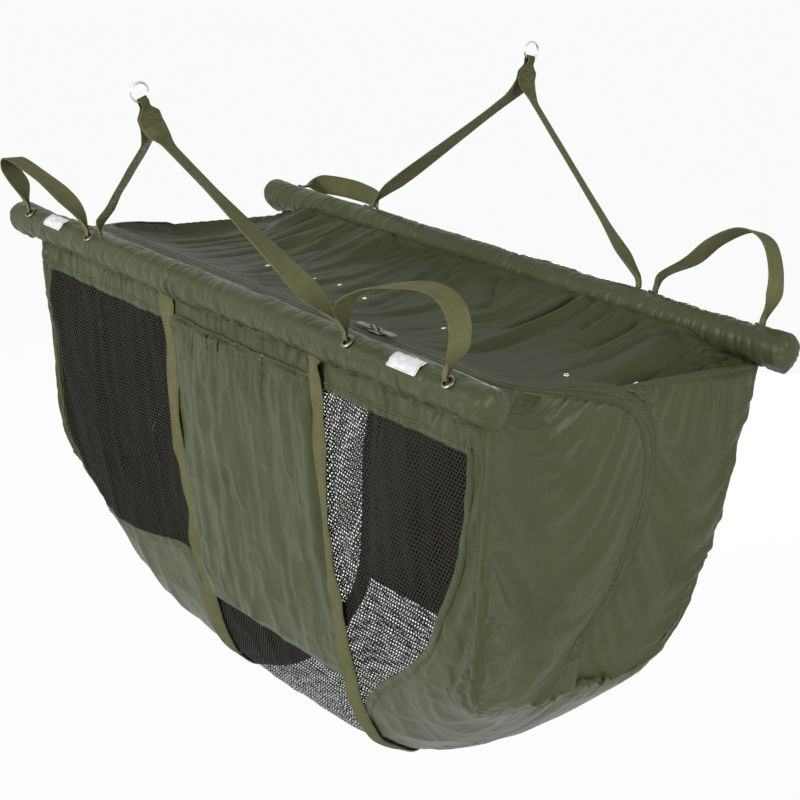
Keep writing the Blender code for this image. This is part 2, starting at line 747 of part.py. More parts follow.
def build_label(name, end):
    """A blank label wrapped on the top and outside of the front sleeve."""
    def at(a, b):
        angle = LABEL_ANGLES[0] + (LABEL_ANGLES[1] - LABEL_ANGLES[0]) * b
        x = end * LABEL_SHARE * HALF_LENGTH + (a - 0.5) * LABEL_LENGTH
        return radial(-1, angle, SLEEVE_OUTER + GAP, x)

    mapped_sheet(name, 2, 8, at, LABEL_THICKNESS, LABEL_LOOK, "front_half")


# Webbing loops

def loop_sections(path, size, across):
    """Rectangular sections along a flat path, with their long side across the loop's plane."""
    sections = []
    count = len(path)
    for index, point in enumerate(path):
        along = (path[min(index + 1, count - 1)] - path[max(index - 1, 0)]).normalized()
        flat = across.cross(along).normalized()
        wide, thick = size(point, index)
        wide = across * wide / 2
        high = flat * thick / 2
        sections.append([point + wide + high, point - wide + high, point - wide - high, point + wide - high])
    return sections


def webbing_size(height):
    """Width and thickness of the webbing at a height over its pivot line."""
    lowest = 0.004
    spread = smooth(lowest, GATHER_HEIGHT, height)
    flattened = smooth(lowest, GATHER_HEIGHT * 0.8, height)
    wide = GATHERED_ACROSS + (WEBBING_WIDTH - GATHERED_ACROSS) * spread
    thick = GATHERED_ALONG + (WEBBING_THICKNESS - GATHERED_ALONG) * flattened
    return wide, thick


def build_hanger(name, side, lean, height_of_fold, parent):
    """A V of webbing folded through its ring, drawn upright in its own plane and leaning outwards."""
    pivot = radial(side, HANGER_ANGLE, HANGER_PIVOT)
    empty(f"hanger_{name}", pivot, parent)
    up = radial(side, lean, 1.0) - radial(side, lean, 0.0)
    across = X_AXIS.cross(up)
    foot = HANGER_SHARE * HALF_LENGTH
    sewn_low = height_of_fold - SEWN_HEIGHT
    beside = WEBBING_THICKNESS / 2 + GAP
    bent_x = foot - 0.004
    bent_height = 0.010
    joined_x = 0.016
    joined_height = sewn_low - 0.012
    leg = [(foot, -PIVOT_TAIL), (foot, 0.003), (bent_x, bent_height)]
    steps = 7
    for index in range(1, steps + 1):
        part = index / steps
        leg.append((bent_x + (joined_x - bent_x) * part, bent_height + (joined_height - bent_height) * part))
    leg += [(0.006, sewn_low - 0.002), (beside, sewn_low + 0.006), (beside, height_of_fold - 0.010)]
    leg += [(FOLD_RADIUS * 0.8, height_of_fold - 0.003)]
    fold = []
    for index in range(7):
        turn = math.pi * index / 6
        fold.append((FOLD_RADIUS * math.cos(turn), height_of_fold + FOLD_RADIUS * math.sin(turn)))
    outline = leg + fold + [(-x, height) for x, height in leg[::-1]]
    path = [pivot + X_AXIS * x + up * height for x, height in outline]

    def size(_, index):
        height = outline[index][1]
        wide, thick = webbing_size(height)
        narrow = smooth(height_of_fold - 0.016, height_of_fold - 0.004, height)
        return wide + (FOLD_WIDTH - wide) * narrow, thick

    lofted(f"hanger_{name}", loop_sections(path, size, across), WEBBING_LOOK, f"hanger_{name}")

    hold = pivot + up * height_of_fold
    empty(f"ring_{name}", hold, f"hanger_{name}")
    centre = hold + up * RING_MEAN_RADIUS
    work = bmesh.new()
    around, wire_steps = 20, 8
    rows = []
    for index in range(around):
        turn = 2 * math.pi * index / around
        outwards = up * math.cos(turn) + across * math.sin(turn)
        row = []
        for step in range(wire_steps):
            wire = 2 * math.pi * step / wire_steps
            row.append(work.verts.new(centre + outwards * (RING_MEAN_RADIUS + RING_WIRE * math.cos(wire))
                                      + X_AXIS * RING_WIRE * math.sin(wire)))
        rows.append(row)
    for index in range(around):
        near, far = rows[index], rows[(index + 1) % around]
        for step in range(wire_steps):
            after = (step + 1) % wire_steps
            work.faces.new((near[step], near[after], far[after], far[step]))
    bmesh.ops.recalc_face_normals(work, faces=work.faces)
    mesh = bpy.data.meshes.new(f"ring_{name}")
    work.to_mesh(mesh)
    work.free()
    add_object(f"ring_{name}", mesh, STEEL_LOOK, f"ring_{name}")


def build_handle(side, name, parent):
    """A carrying loop between two eyelets, leaning from the radius through them."""
    pivot = radial(side, HANDLE_ANGLE, HANDLE_PIVOT)
    empty(f"handle_{name}", pivot, parent)
    lean = HANDLE_ANGLE + HANDLE_LEAN[name]
    up = radial(side, lean, 1.0) - radial(side, lean, 0.0)
    across = X_AXIS.cross(up)
    end = -1 if name.endswith("left") else 1
    inner = end * HANDLE_INNER_SHARE * HALF_LENGTH
    outer = end * HANDLE_OUTER_SHARE * HALF_LENGTH
    rough = [(share * HALF_LENGTH, height) for share, height in HANDLE_PATHS[name]]
    knots = [(inner, -PIVOT_TAIL), (inner, 0.006)] + rough + [(outer, 0.006), (outer, -PIVOT_TAIL)]
    points = [Vector((x, height, 0.0)) for x, height in knots]
    steps = 30
    outline = [spline(points, index / steps) for index in range(steps + 1)]
    path = [pivot + X_AXIS * point.x + up * point.y for point in outline]
    lofted(f"handle_{name}", loop_sections(path, lambda _, index: webbing_size(outline[index].y), across),
           WEBBING_LOOK, f"handle_{name}")


# Zip sliders and pulls

def build_slider(end):
    """A slider over the coil with its bridge, and a pull whose end bar lies under the bridge.

    Its channel is open to the front, so that the front half opens wherever the slider stands.
    """
    name = "left" if end < 0 else "right"
    x = SLIDERS_SHARE * HALF_LENGTH + end * (SLIDER_LENGTH / 2 + GAP)
    y = ZIP_HALVES[1][0][0].y
    tape_top = LID_LEVEL + TAPE_THICKNESS + GAP
    roof = tape_top + COIL_HEIGHT + GAP
    top = roof + SLIDER_WALL
    empty(f"slider_{name}", (x, y, top), "bag_frame")
    half = SLIDER_LENGTH / 2
    inside = COIL_HALF + GAP
    half_width = SLIDER_WIDTH / 2
    block = block_mesh("body", (x - half, y - half_width, tape_top), (x + half, y + half_width, top))
    body = add_object(f"slider_{name}", block, STEEL_LOOK, f"slider_{name}")
    channel = block_mesh("channel", (x - half - 0.001, y - SLIDER_WIDTH, tape_top - 0.001),
                         (x + half + 0.001, y + inside, roof))
    cut(body, add_cutter(f"channel_{name}", channel, f"slider_{name}"))
    inner = BRIDGE_INSIDE / 2
    reach = inner + BRIDGE_WALL
    bridge_top = top + BRIDGE_INSIDE + BRIDGE_WALL
    bridge = block_mesh("bridge", (x - reach, y - BRIDGE_WIDTH / 2, top - 0.0006),
                        (x + reach, y + BRIDGE_WIDTH / 2, bridge_top))
    cut(body, add_cutter(f"bridge_{name}", bridge, f"slider_{name}"), "UNION")
    eye = block_mesh("eye", (x - inner, y - BRIDGE_WIDTH, top),
                     (x + inner, y + BRIDGE_WIDTH, top + BRIDGE_INSIDE))
    cut(body, add_cutter(f"bridge_eye_{name}", eye, f"slider_{name}"))

    axle = Vector((x, y, top + BRIDGE_INSIDE / 2))
    empty(f"pull_{name}", axle, f"slider_{name}")
    bar = 0.0008
    low = axle + Vector((-bar, -PULL_WIDTH / 2, -PULL_THICKNESS / 2))
    high = axle + Vector((PULL_LENGTH, PULL_WIDTH / 2, PULL_THICKNESS / 2))
    hole_low = axle + Vector((bar, -PULL_EYE / 2, -PULL_THICKNESS))
    hole_high = axle + Vector((bar + 0.0045, PULL_EYE / 2, PULL_THICKNESS))
    pull_mesh = block_mesh("pull", low, high)
    hole_mesh = block_mesh("pull_eye", hole_low, hole_high)
    if end < 0:
        turn = Matrix.Translation(axle) @ Matrix.Rotation(math.pi, 4, "Z") @ Matrix.Translation(-axle)
        pull_mesh.transform(turn)
        hole_mesh.transform(turn)
    pull = add_object(f"pull_{name}", pull_mesh, STEEL_LOOK, f"pull_{name}")
    cut(pull, add_cutter(f"pull_hole_{name}", hole_mesh, f"pull_{name}"))


# The whole sling

empty("bag_frame", (0.0, 0.0, 0.0))
EMPTIES["bag_frame"].location = (0.0, 0.0, -RING_RISE)
empty("front_half", (0.0, FOLD_Y, HINGE_Z), "bag_frame")

build_float(-1, "front", "front_half")
build_float(1, "back", "bag_frame")
build_wall(-1, "front", "front_half")
build_wall(1, "back", "bag_frame")
build_tape("zip_tape_front", -1, "front_half")
build_tape("zip_tape_back", 1, "bag_frame")
build_ends()
build_lid()
build_label("label_left", -1)
build_label("label_right", 1)
build_hanger("front", -1, FRONT_LEAN, FRONT_HANGER_HEIGHT, "front_half")
build_hanger("back", 1, BACK_LEAN, BACK_HANGER_HEIGHT, "bag_frame")
for handle_side, handle_name, holder in ((-1, "front_left", "front_half"), (-1, "front_right", "front_half"),
                                         (1, "back_left", "bag_frame"), (1, "back_right", "bag_frame")):
    build_handle(handle_side, handle_name, holder)
build_slider(-1)
build_slider(1)
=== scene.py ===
"""Floating retainer sling: the finished look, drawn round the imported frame.

Units are metres. Shapes are worked out in the bag's own frame, with its origin midway between the two
float axes, X along the floats, the front float on the -Y side and Z up. Every piece is then lowered by
RISE, because the frame's origin is at the hook that gathers the two hanging rings.
"""

import math

import bpy
import numpy as np
from bpy.props import FloatProperty, FloatVectorProperty, PointerProperty
from bpy.types import Operator, Panel, PropertyGroup
from mathutils import Matrix, Vector


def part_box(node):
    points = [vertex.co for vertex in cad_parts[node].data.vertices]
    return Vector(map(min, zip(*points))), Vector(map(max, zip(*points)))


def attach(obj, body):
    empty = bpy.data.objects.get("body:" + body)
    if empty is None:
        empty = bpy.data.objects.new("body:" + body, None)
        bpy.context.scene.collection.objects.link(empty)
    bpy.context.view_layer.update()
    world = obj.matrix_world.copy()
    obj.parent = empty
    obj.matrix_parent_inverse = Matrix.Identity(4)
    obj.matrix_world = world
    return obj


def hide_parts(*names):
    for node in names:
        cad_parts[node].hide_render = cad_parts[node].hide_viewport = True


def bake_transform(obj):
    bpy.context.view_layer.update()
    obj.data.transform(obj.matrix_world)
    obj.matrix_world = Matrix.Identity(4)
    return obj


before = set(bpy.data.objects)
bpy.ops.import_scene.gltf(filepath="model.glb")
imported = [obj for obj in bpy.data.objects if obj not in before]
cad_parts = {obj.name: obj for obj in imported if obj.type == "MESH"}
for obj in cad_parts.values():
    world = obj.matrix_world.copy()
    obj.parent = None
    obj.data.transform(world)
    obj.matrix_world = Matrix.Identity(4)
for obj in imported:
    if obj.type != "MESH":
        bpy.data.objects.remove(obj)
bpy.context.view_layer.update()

bl_info = {
    "name": "Floating retainer sling",
    "version": (1, 0, 0),
    "blender": (4, 5, 0),
    "location": "3D View > Sidebar > Sling",
    "description": "Builds the cloth, mesh, zip and webbing of a floating retainer sling",
    "category": "Add Mesh",
}

# Sizes of the frame, read from it or repeated from the part's source
FOAM_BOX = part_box("foam_front")
RISE = -(FOAM_BOX[0].z + FOAM_BOX[1].z) / 2
HALF_SPACING = -(FOAM_BOX[0].y + FOAM_BOX[1].y) / 2
HALF_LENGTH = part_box("cap_front_right")[1].x
SLEEVE = 0.0177  # outer radius of a sleeve
GAP = 0.0004  # between neighbouring pieces
WALL_TOP = -0.0185
END_DEPTH = 0.2900  # of the bag at its end seams
BELLY_DROP = 0.1680  # how much deeper its middle hangs
BASE_Z = WALL_TOP - END_DEPTH
WALL_RUN = 0.530  # of cloth from a sleeve down to the fold

# The end seams' places as shares of the half length, and how the walls swell between them
LEFT_SEAM_TOP = 0.865
LEFT_SEAM_BASE = 0.820
BACK_SEAM = 0.907
RIGHT_SEAM_TOP = 0.987
RIGHT_SEAM_BASE = 0.912
RIGHT_SEAM_TURN = 5.0
LEFT_TUCK = 0.0140
RIGHT_FULLNESS = 2.9
LEFT_FULLNESS = 5.5

# The lid and its zip
LID_LEVEL = -0.0040
LID_SAG = 0.0110
LID_TURN = 78.0  # degrees that its edge turns under a sleeve, towards the ends
TAPE_HALF = 0.0080
SLIDERS_SHARE = 0.430

# Webbing: places as shares of the half length, angles in degrees from straight up round a sleeve
WEBBING_WIDTH = 0.0250
WEBBING_THICKNESS = 0.0018
HANGER_SHARE = 0.520
HANGER_ANGLE = 19.3
HANDLE_INNER_SHARE = 0.556
HANDLE_OUTER_SHARE = 0.882
HANDLE_ANGLE = 45.0
HANGER_HEIGHTS = {-1: 0.1960, 1: 0.2080}
SEWN_HEIGHT = 0.0300  # of the part of a hanger where its two legs are sewn together
LEANS = {-1: 22.8, 1: 10.2}
# How far the left and right leg are turned at the foot, then at the top
LEG_TURNS = {-1: ((12.0, -5.0), (12.0, -44.0)), 1: ((-8.0, -18.0), (12.0, -19.0))}
RING_MEAN_RADIUS = 0.0095
RING_WIRE = 0.0012  # radius of its wire
FOLD_RADIUS = 0.0038
STRAP_HALF_SHARE = 0.3125
LABEL_SHARE = 0.745
LABEL_LENGTH = 0.0420
LABEL_ANGLES = (8.0, 66.0)
LABEL_MIDDLE = sum(LABEL_ANGLES) / 2
BAND_SHARE = 0.055
PANEL_FOOT_SHARE = 0.685
HANGER_PIVOT = SLEEVE + 0.0018
HANDLE_PIVOT = SLEEVE + 0.0034
BAG_MIDDLE = np.array([0.0, 0.0, BASE_Z / 2])
CLOTH_OUT = 0.0006  # how far outside its CAD line a sheet of cloth is drawn
WALL_HALF = 0.9 * HALF_LENGTH  # half a wall's mean length
BODIES = {-1: "front_half", 1: "back_half"}
SIDES = {-1: "front", 1: "back"}
ENDS = {-1: "left", 1: "right"}

# Wall sections from sleeve to fold, as shares of the half spacing and of the depth at that place
FOLD = (-0.244, 1.00)
SECTIONS = {
    (-1, "end"): [(-1.000, 0.00), (-1.010, 0.27), (-1.010, 0.57), (-0.975, 0.810), (-0.870, 0.935),
                  (-0.600, 0.985), FOLD],
    (-1, "middle"): [(-1.000, 0.00), (-0.990, 0.176), (-0.935, 0.363), (-0.830, 0.549), (-0.715, 0.736),
                     (-0.540, 0.905), FOLD],
    (1, "end"): [(1.000, 0.00), (0.955, 0.148), (0.861, 0.397), (0.739, 0.630), (0.578, 0.866),
                 (0.300, 0.990), FOLD],
    (1, "middle"): [(1.000, 0.00), (1.010, 0.200), (0.955, 0.420), (0.840, 0.630), (0.640, 0.820),
                    (0.250, 0.955), FOLD],
}
FOLD_Y = FOLD[0] * HALF_SPACING

# The net's edges and the straps' middle line along a wall, as shares of the float's half length
NET_EDGES = {
    (-1, 1): [0.928, 0.925, 0.911, 0.860, 0.797, 0.692, 0.530, 0.430, 0.420, 0.415],
    (1, -1): [-0.800, -0.805, -0.805, -0.800, -0.785, -0.750, -0.620, -0.360, -0.240, -0.205],
    (1, 1): [0.795, 0.800, 0.805, 0.800, 0.785, 0.750, 0.640, 0.490, 0.430, 0.415],
}
# The front net's left edge turns and runs along level: place on the wall, then share down the seam beside it
LEFT_NET_PATH = [(-0.828, 0.055, 0.055), (-0.838, 0.160, 0.155), (-0.842, 0.270, 0.260),
                 (-0.838, 0.380, 0.360), (-0.826, 0.490, 0.460), (-0.806, 0.585, 0.550),
                 (-0.770, 0.660, 0.630), (-0.690, 0.680, 0.700), (-0.560, 0.652, 0.760),
                 (-0.400, 0.622, 0.820), (-0.270, 0.604, 0.875), (-0.225, 0.650, 0.915),
                 (-0.215, 0.760, 0.945), (-0.212, 0.880, 0.972), (-0.210, 1.000, 1.000)]
LEFT_NET_TURNS = (0.45, 0.79)
NET_SEWN_IN = 0.006
STRAP_MIDDLES = {-1: [0.092, 0.102, 0.106, 0.120, 0.117, 0.101, 0.105],
                 1: [-0.110, -0.110, -0.095, -0.050, 0.050, 0.095, 0.105]}

# The zip from its straight run to its foot: out from the seam, shares of half spacing and depth, lean
ZIP_TURN = [(-0.075, -0.656, None, 0), (-0.043, -0.652, None, 2), (-0.019, -0.600, 0.005, 12),
            (-0.006, -0.445, 0.018, 28), (0.001, -0.240, 0.038, 40), (0.006, -0.040, 0.066, 55),
            (0.0085, 0.100, 0.130, 74), (0.009, 0.178, 0.222, 86), (0.0085, 0.206, 0.335, 90),
            (0.007, 0.172, 0.495, 90), (0.005, 0.078, 0.665, 90), (0.004, -0.044, 0.775, 90),
            (0.003, -0.178, 0.870, 90), (0.0025, -0.236, 0.938, 90), (0.002, -0.244, 0.994, 90)]
TURN_STEPS = len(ZIP_TURN) - 1
TURN_CORNER = 2
TURN_CREASE = 5
LID_CREASE = 6 / 11  # the share of the lid's side that lies along the zip, before it meets the end

# Handles as shares of the half length and heights over their pivots, and how far each one leans
HANDLE_PATHS = {
    (-1, 1): [(0.565, 0.036), (0.650, 0.057), (0.754, 0.071), (0.848, 0.078), (0.906, 0.073),
              (0.932, 0.054), (0.920, 0.028)],
    (-1, -1): [(-0.600, 0.022), (-0.720, 0.040), (-0.850, 0.051), (-0.968, 0.057), (-0.984, 0.044),
               (-0.925, 0.028)],
    (1, 1): [(0.570, 0.020), (0.645, 0.041), (0.703, 0.066), (0.778, 0.084), (0.845, 0.080),
             (0.884, 0.056), (0.896, 0.028)],
    (1, -1): [(-0.590, 0.024), (-0.650, 0.038), (-0.720, 0.045), (-0.800, 0.046), (-0.870, 0.038),
              (-0.900, 0.022)],
}
HANDLE_LEANS = {(-1, 1): -38.0, (-1, -1): -45.0, (1, 1): -35.0, (1, -1): 45.0}

# The handles' pressed eyelet as (radius, height), and the places of the small eyelets in the lid
EYELET = [(0.0042, -0.0018), (0.0042, 0.0006), (0.0044, 0.0011), (0.0048, 0.0013), (0.0054, 0.0012),
          (0.0061, 0.0009), (0.0066, 0.0006), (0.0070, 0.0002), (0.0070, -0.0003), (0.0053, -0.0003),
          (0.0049, -0.0018)]
DRAINS = ((-0.189, 0.006), (-0.096, 0.008), (-0.067, 0.022), (-0.004, 0.011), (0.137, 0.010),
          (0.321, 0.013), (0.386, -0.001), (0.410, 0.017))

# The photograph's camera, in the bag's frame: place, then heading, pitch and roll in degrees
CAMERA_PLACE = (1.5178, -1.1046, 0.4378)
CAMERA_TURNS = (52.439, 17.034, 2.491)


def linear(code):
    """An sRGB hex colour as linear values with full alpha."""
    values = [int(code[i:i + 2], 16) / 255 for i in (1, 3, 5)]
    return [v / 12.92 if v <= 0.04045 else ((v + 0.055) / 1.055) ** 2.4 for v in values] + [1.0]


# Number tools

def unit(vectors):
    return vectors / np.maximum(np.linalg.norm(vectors, axis=-1, keepdims=True), 1e-12)


def smooth(low, high, value):
    share = np.clip((value - low) / (high - low), 0.0, 1.0)
    return share * share * (3.0 - 2.0 * share)


def curve_at(points, share):
    """A smooth curve through the points, which lie at even steps of share, read at every share."""
    points = np.asarray(points, float)
    if points.ndim == 1:
        points = points[:, None]
    count = len(points) - 1
    wide = np.vstack([2 * points[0] - points[1], points, 2 * points[-1] - points[-2]])
    reach = np.clip(share, 0.0, 1.0) * count
    start = np.minimum(reach.astype(int), count - 1)
    t = (reach - start)[..., None]
    p0, p1, p2, p3 = wide[start], wide[start + 1], wide[start + 2], wide[start + 3]
    return 0.5 * (2 * p1 + (p2 - p0) * t + (2 * p0 - 5 * p1 + 4 * p2 - p3) * t ** 2
                  + (3 * p1 - p0 - 3 * p2 + p3) * t ** 3)


def noise(x, y, seed):
    """Smooth noise from -1 to 1 with features about one unit wide."""
    x, y = np.broadcast_arrays(np.asarray(x, float), np.asarray(y, float))
    ix, iy = np.floor(x).astype(np.int64), np.floor(y).astype(np.int64)
    fx, fy = x - ix, y - iy

    def corner(dx, dy):
        n = ((ix + dx) * 374761393 + (iy + dy) * 668265263 + seed * 1442695041) & 0xFFFFFFFF
        n = ((n ^ (n >> 13)) * 1274126177) & 0xFFFFFFFF
        return ((n ^ (n >> 16)) & 0xFFFF) / 32767.5 - 1.0

    sx = fx * fx * fx * (fx * (6 * fx - 15) + 10)
    sy = fy * fy * fy * (fy * (6 * fy - 15) + 10)
    low = corner(0, 0) * (1 - sx) + corner(1, 0) * sx
    high = corner(0, 1) * (1 - sx) + corner(1, 1) * sx
    return low * (1 - sy) + high * sy


def crinkle(x, y, seed):
    """Noise with sharp ridges and round hollows, as creased cloth has."""
    first = 1.0 - 2.0 * np.abs(noise(x, y, seed))
    second = 1.0 - 2.0 * np.abs(noise(2.1 * x + 7.3, 2.1 * y + 1.7, seed + 11))
    return 0.7 * first + 0.3 * second


def pleats(along, down, spacing, seed):
    """Gathered folds side by side, uneven in width and height, that wander and run out on the way down."""
    wander = 0.7 * noise(along / (4.0 * spacing), down / (3.0 * spacing), seed)
    first = np.abs(noise(along / spacing + wander, down / (7.0 * spacing), seed + 1))
    second = noise(1.7 * along / spacing + wander, down / (4.5 * spacing), seed + 2)
    third = noise(0.45 * along / spacing + wander, down / (6.0 * spacing), seed + 3)
    return 1.5 * np.sqrt(first + 0.02) - 0.85 + 0.40 * second + 0.45 * third


def run_along(points):
    """Length run along a line of points, up to each of them."""
    return np.concatenate([[0.0], np.cumsum(np.linalg.norm(np.diff(points, axis=0), axis=1))])


def even_walk(points, spacing, *others, count=None):
    """Places at even spacing, or this many, along a run of points, with other values carried along."""
    reach = run_along(points)
    wanted = np.linspace(0.0, reach[-1], count or max(2, int(round(reach[-1] / spacing)) + 1))
    return [np.stack([np.interp(wanted, reach, column) for column in values.T], axis=1)
            for values in (points, *others)]


def without_repeats(points, *others):
    """Leaves out each point that lies on the one before it, and the values that go with it."""
    keep = np.concatenate([[True], np.linalg.norm(np.diff(points, axis=0), axis=1) > 1e-5])
    return [values[keep] for values in (points, *others)]


def eased(points, times):
    """Rounds off the kinks of a run of points between its ends."""
    for _ in range(times):
        points[1:-1] = (points[:-2] + 2 * points[1:-1] + points[2:]) / 4
    return points


def shares(cols, rows):
    """Shares across and down a grid, from 0 to 1."""
    return np.meshgrid(np.linspace(0, 1, cols), np.linspace(0, 1, rows))


# Mesh tools

def grid_faces(rows, cols, wrap):
    """Quads of a grid, and the same quads counted on a grid with one more column for its pattern."""
    r, c = np.meshgrid(np.arange(rows - 1), np.arange(cols if wrap else cols - 1), indexing="ij")
    after = (c + 1) % cols
    faces = np.stack([r * cols + c, r * cols + after, (r + 1) * cols + after, (r + 1) * cols + c], axis=-1)
    wide = cols + 1
    pattern = np.stack([r * wide + c, r * wide + c + 1, (r + 1) * wide + c + 1, (r + 1) * wide + c], axis=-1)
    return faces.reshape(-1, 4), pattern.reshape(-1, 4)


def new_mesh(name, points, face_sets, uv_sets=None):
    """A mesh from points in the bag's frame and arrays of faces, with a pattern place for each corner."""
    mesh = bpy.data.meshes.new(name)
    lowered = np.asarray(points, float).reshape(-1, 3) - np.array([0.0, 0.0, RISE])
    mesh.vertices.add(len(lowered))
    mesh.vertices.foreach_set("co", lowered.ravel())
    corners = np.concatenate([faces.ravel() for faces in face_sets])
    sizes = np.concatenate([np.full(len(faces), faces.shape[1]) for faces in face_sets])
    mesh.loops.add(len(corners))
    mesh.loops.foreach_set("vertex_index", corners)
    mesh.polygons.add(len(sizes))
    mesh.polygons.foreach_set("loop_start", np.concatenate([[0], np.cumsum(sizes)[:-1]]))
    mesh.polygons.foreach_set("use_smooth", np.ones(len(sizes), bool))
    if uv_sets is not None:
        layer = mesh.uv_layers.new(name="metres")
        layer.uv.foreach_set("vector", np.concatenate([uv.reshape(-1) for uv in uv_sets]))
    mesh.update(calc_edges=True)
    return mesh


def own(node):
    """The node of a piece that stands for one node alone, and what it replaces."""
    return node, (node,)


def place_piece(name, mesh, kind, body, node, replaced=()):
    """Puts a mesh in the scene with its material and body, in place of the nodes it replaces."""
    piece = bpy.data.objects.new(name, mesh)
    bpy.context.scene.collection.objects.link(piece)
    mesh.materials.append(look(kind))
    if body:
        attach(piece, body)
    if replaced:
        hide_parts(*replaced)
    return piece


def inside_out(flat, faces, centres):
    """Whether faces look back at the centres they lie round."""
    a, b, c = flat[faces[:, 0]], flat[faces[:, 1]], flat[faces[:, 2]]
    return (np.cross(b - a, c - a) * ((a + c) / 2 - centres)).sum() < 0


def lengths(points, axis):
    """Mean length run along one way of a grid of points."""
    steps = np.linalg.norm(np.diff(points, axis=axis), axis=2).mean(axis=1 - axis)
    return np.concatenate([[0.0], np.cumsum(steps)])


def grid_piece(name, points, kind, body, node, replaced=(), closed=False):
    """A sheet, or a closed run of capped sections, facing outwards and with its pattern in metres."""
    rows, cols, _ = points.shape
    faces, pattern = grid_faces(rows, cols, closed)
    if closed:
        across = lengths(np.concatenate([points, points[:, :1]], axis=1), 1)
    else:
        across = lengths(points, 1)
        across = np.append(across, across[-1])
    u, v = np.meshgrid(across, lengths(points, 0))
    flat = points.reshape(-1, 3)
    sets, uv_sets = [faces], [np.stack([u, v], axis=-1).reshape(-1, 2)[pattern]]
    centres = BAG_MIDDLE
    if closed:
        centres = np.repeat(points.mean(axis=1)[:-1], cols, axis=0)
        middle = len(flat)
        flat = np.vstack([flat, points[0].mean(axis=0), points[-1].mean(axis=0)])
        index = np.arange(cols)
        after = (index + 1) % cols
        last = (rows - 1) * cols
        first_fan = np.stack([index, np.full(cols, middle), after], axis=1)
        last_fan = np.stack([last + after, np.full(cols, middle + 1), last + index], axis=1)
        sets.append(np.concatenate([first_fan, last_fan]))
        uv_sets.append(np.zeros((2 * cols, 3, 2)))
    if inside_out(flat, faces, centres):
        sets = [part[:, ::-1] for part in sets]
        uv_sets = [part[:, ::-1] for part in uv_sets]
    return place_piece(name, new_mesh(name, flat, sets, uv_sets), kind, body, node, replaced)


def patch(first, last, start, end):
    """Fills the space between four edges: first and last run down the rows, start and end along them."""
    rows, cols = len(first), len(start)
    b = np.linspace(0, 1, rows)[:, None, None]
    a = np.linspace(0, 1, cols)[None, :, None]
    flat = (start[0] * (1 - a) * (1 - b) + start[-1] * a * (1 - b) + end[0] * (1 - a) * b + end[-1] * a * b)
    return first[:, None] * (1 - a) + last[:, None] * a + start[None] * (1 - b) + end[None] * b - flat


def line(first, last, count):
    share = np.linspace(0, 1, count)[:, None]
    return first * (1 - share) + last * share


# Thin coated nylon for the cloth simulation, held along its sewn edges
SETTLING = {"quality": 5, "mass": 0.12, "tension_stiffness": 12, "compression_stiffness": 12,
            "shear_stiffness": 4, "air_damping": 4, "vertex_group_mass": "sewn"}


class Sheet:
    """A grid of points that can be read anywhere between its corners, with the way out from the bag."""

    def __init__(self, grid):
        self.grid = grid
        self.rows, self.cols, _ = grid.shape
        tall = np.concatenate([2 * grid[:1] - grid[1:2], grid, 2 * grid[-1:] - grid[-2:-1]])
        before, after = 2 * tall[:, :1] - tall[:, 1:2], 2 * tall[:, -1:] - tall[:, -2:-1]
        self.wide = np.concatenate([before, tall, after], axis=1)
        self.sign = 1.0
        a, b = np.meshgrid(np.linspace(0.05, 0.95, 12), np.linspace(0.05, 0.95, 12))
        if ((self.at(a, b) - BAG_MIDDLE) * self.normal(a, b)).sum() < 0:
            self.sign = -1.0

    def read(self, a, b):
        """Places at shares across and down, on a smooth surface through the grid's points."""
        x = np.clip(a, 0, 1) * (self.cols - 1)
        y = np.clip(b, 0, 1) * (self.rows - 1)
        ix = np.minimum(x.astype(int), self.cols - 2)
        iy = np.minimum(y.astype(int), self.rows - 2)

        def weights(t):
            return [0.5 * (-t + 2 * t * t - t ** 3), 0.5 * (2 - 5 * t * t + 3 * t ** 3),
                    0.5 * (t + 4 * t * t - 3 * t ** 3), 0.5 * (t ** 3 - t * t)]

        wx, wy = weights((x - ix)[..., None]), weights((y - iy)[..., None])
        return sum(wy[j] * sum(wx[i] * self.wide[iy + j, ix + i] for i in range(4)) for j in range(4))

    def normal(self, a, b):
        """The way out from the bag."""
        a, b = np.broadcast_arrays(np.asarray(a, float), np.asarray(b, float))
        da, db = 0.6 / (self.cols - 1), 0.6 / (self.rows - 1)
        across = self.read(np.minimum(a + da, 1), b) - self.read(np.maximum(a - da, 0), b)
        down = self.read(a, np.minimum(b + db, 1)) - self.read(a, np.maximum(b - db, 0))
        return unit(np.cross(across, down)) * self.sign

    def at(self, a, b, out=0.0):
        """Places at shares across and down, moved out by this much."""
        a, b = np.broadcast_arrays(np.asarray(a, float), np.asarray(b, float))
        place = self.read(a, b)
        if np.ndim(out) == 0 and out == 0.0:
            return place
        return place + self.normal(a, b) * np.asarray(out, float)[..., None]

    def finer(self, rows, cols):
        return Sheet(self.read(*shares(cols, rows)))

    def moved(self, height):
        """The same sheet with each point moved out by its own height, or all of them by one."""
        a, b = shares(self.cols, self.rows)
        return Sheet(self.grid + self.normal(a, b) * np.broadcast_to(height, a.shape)[..., None])


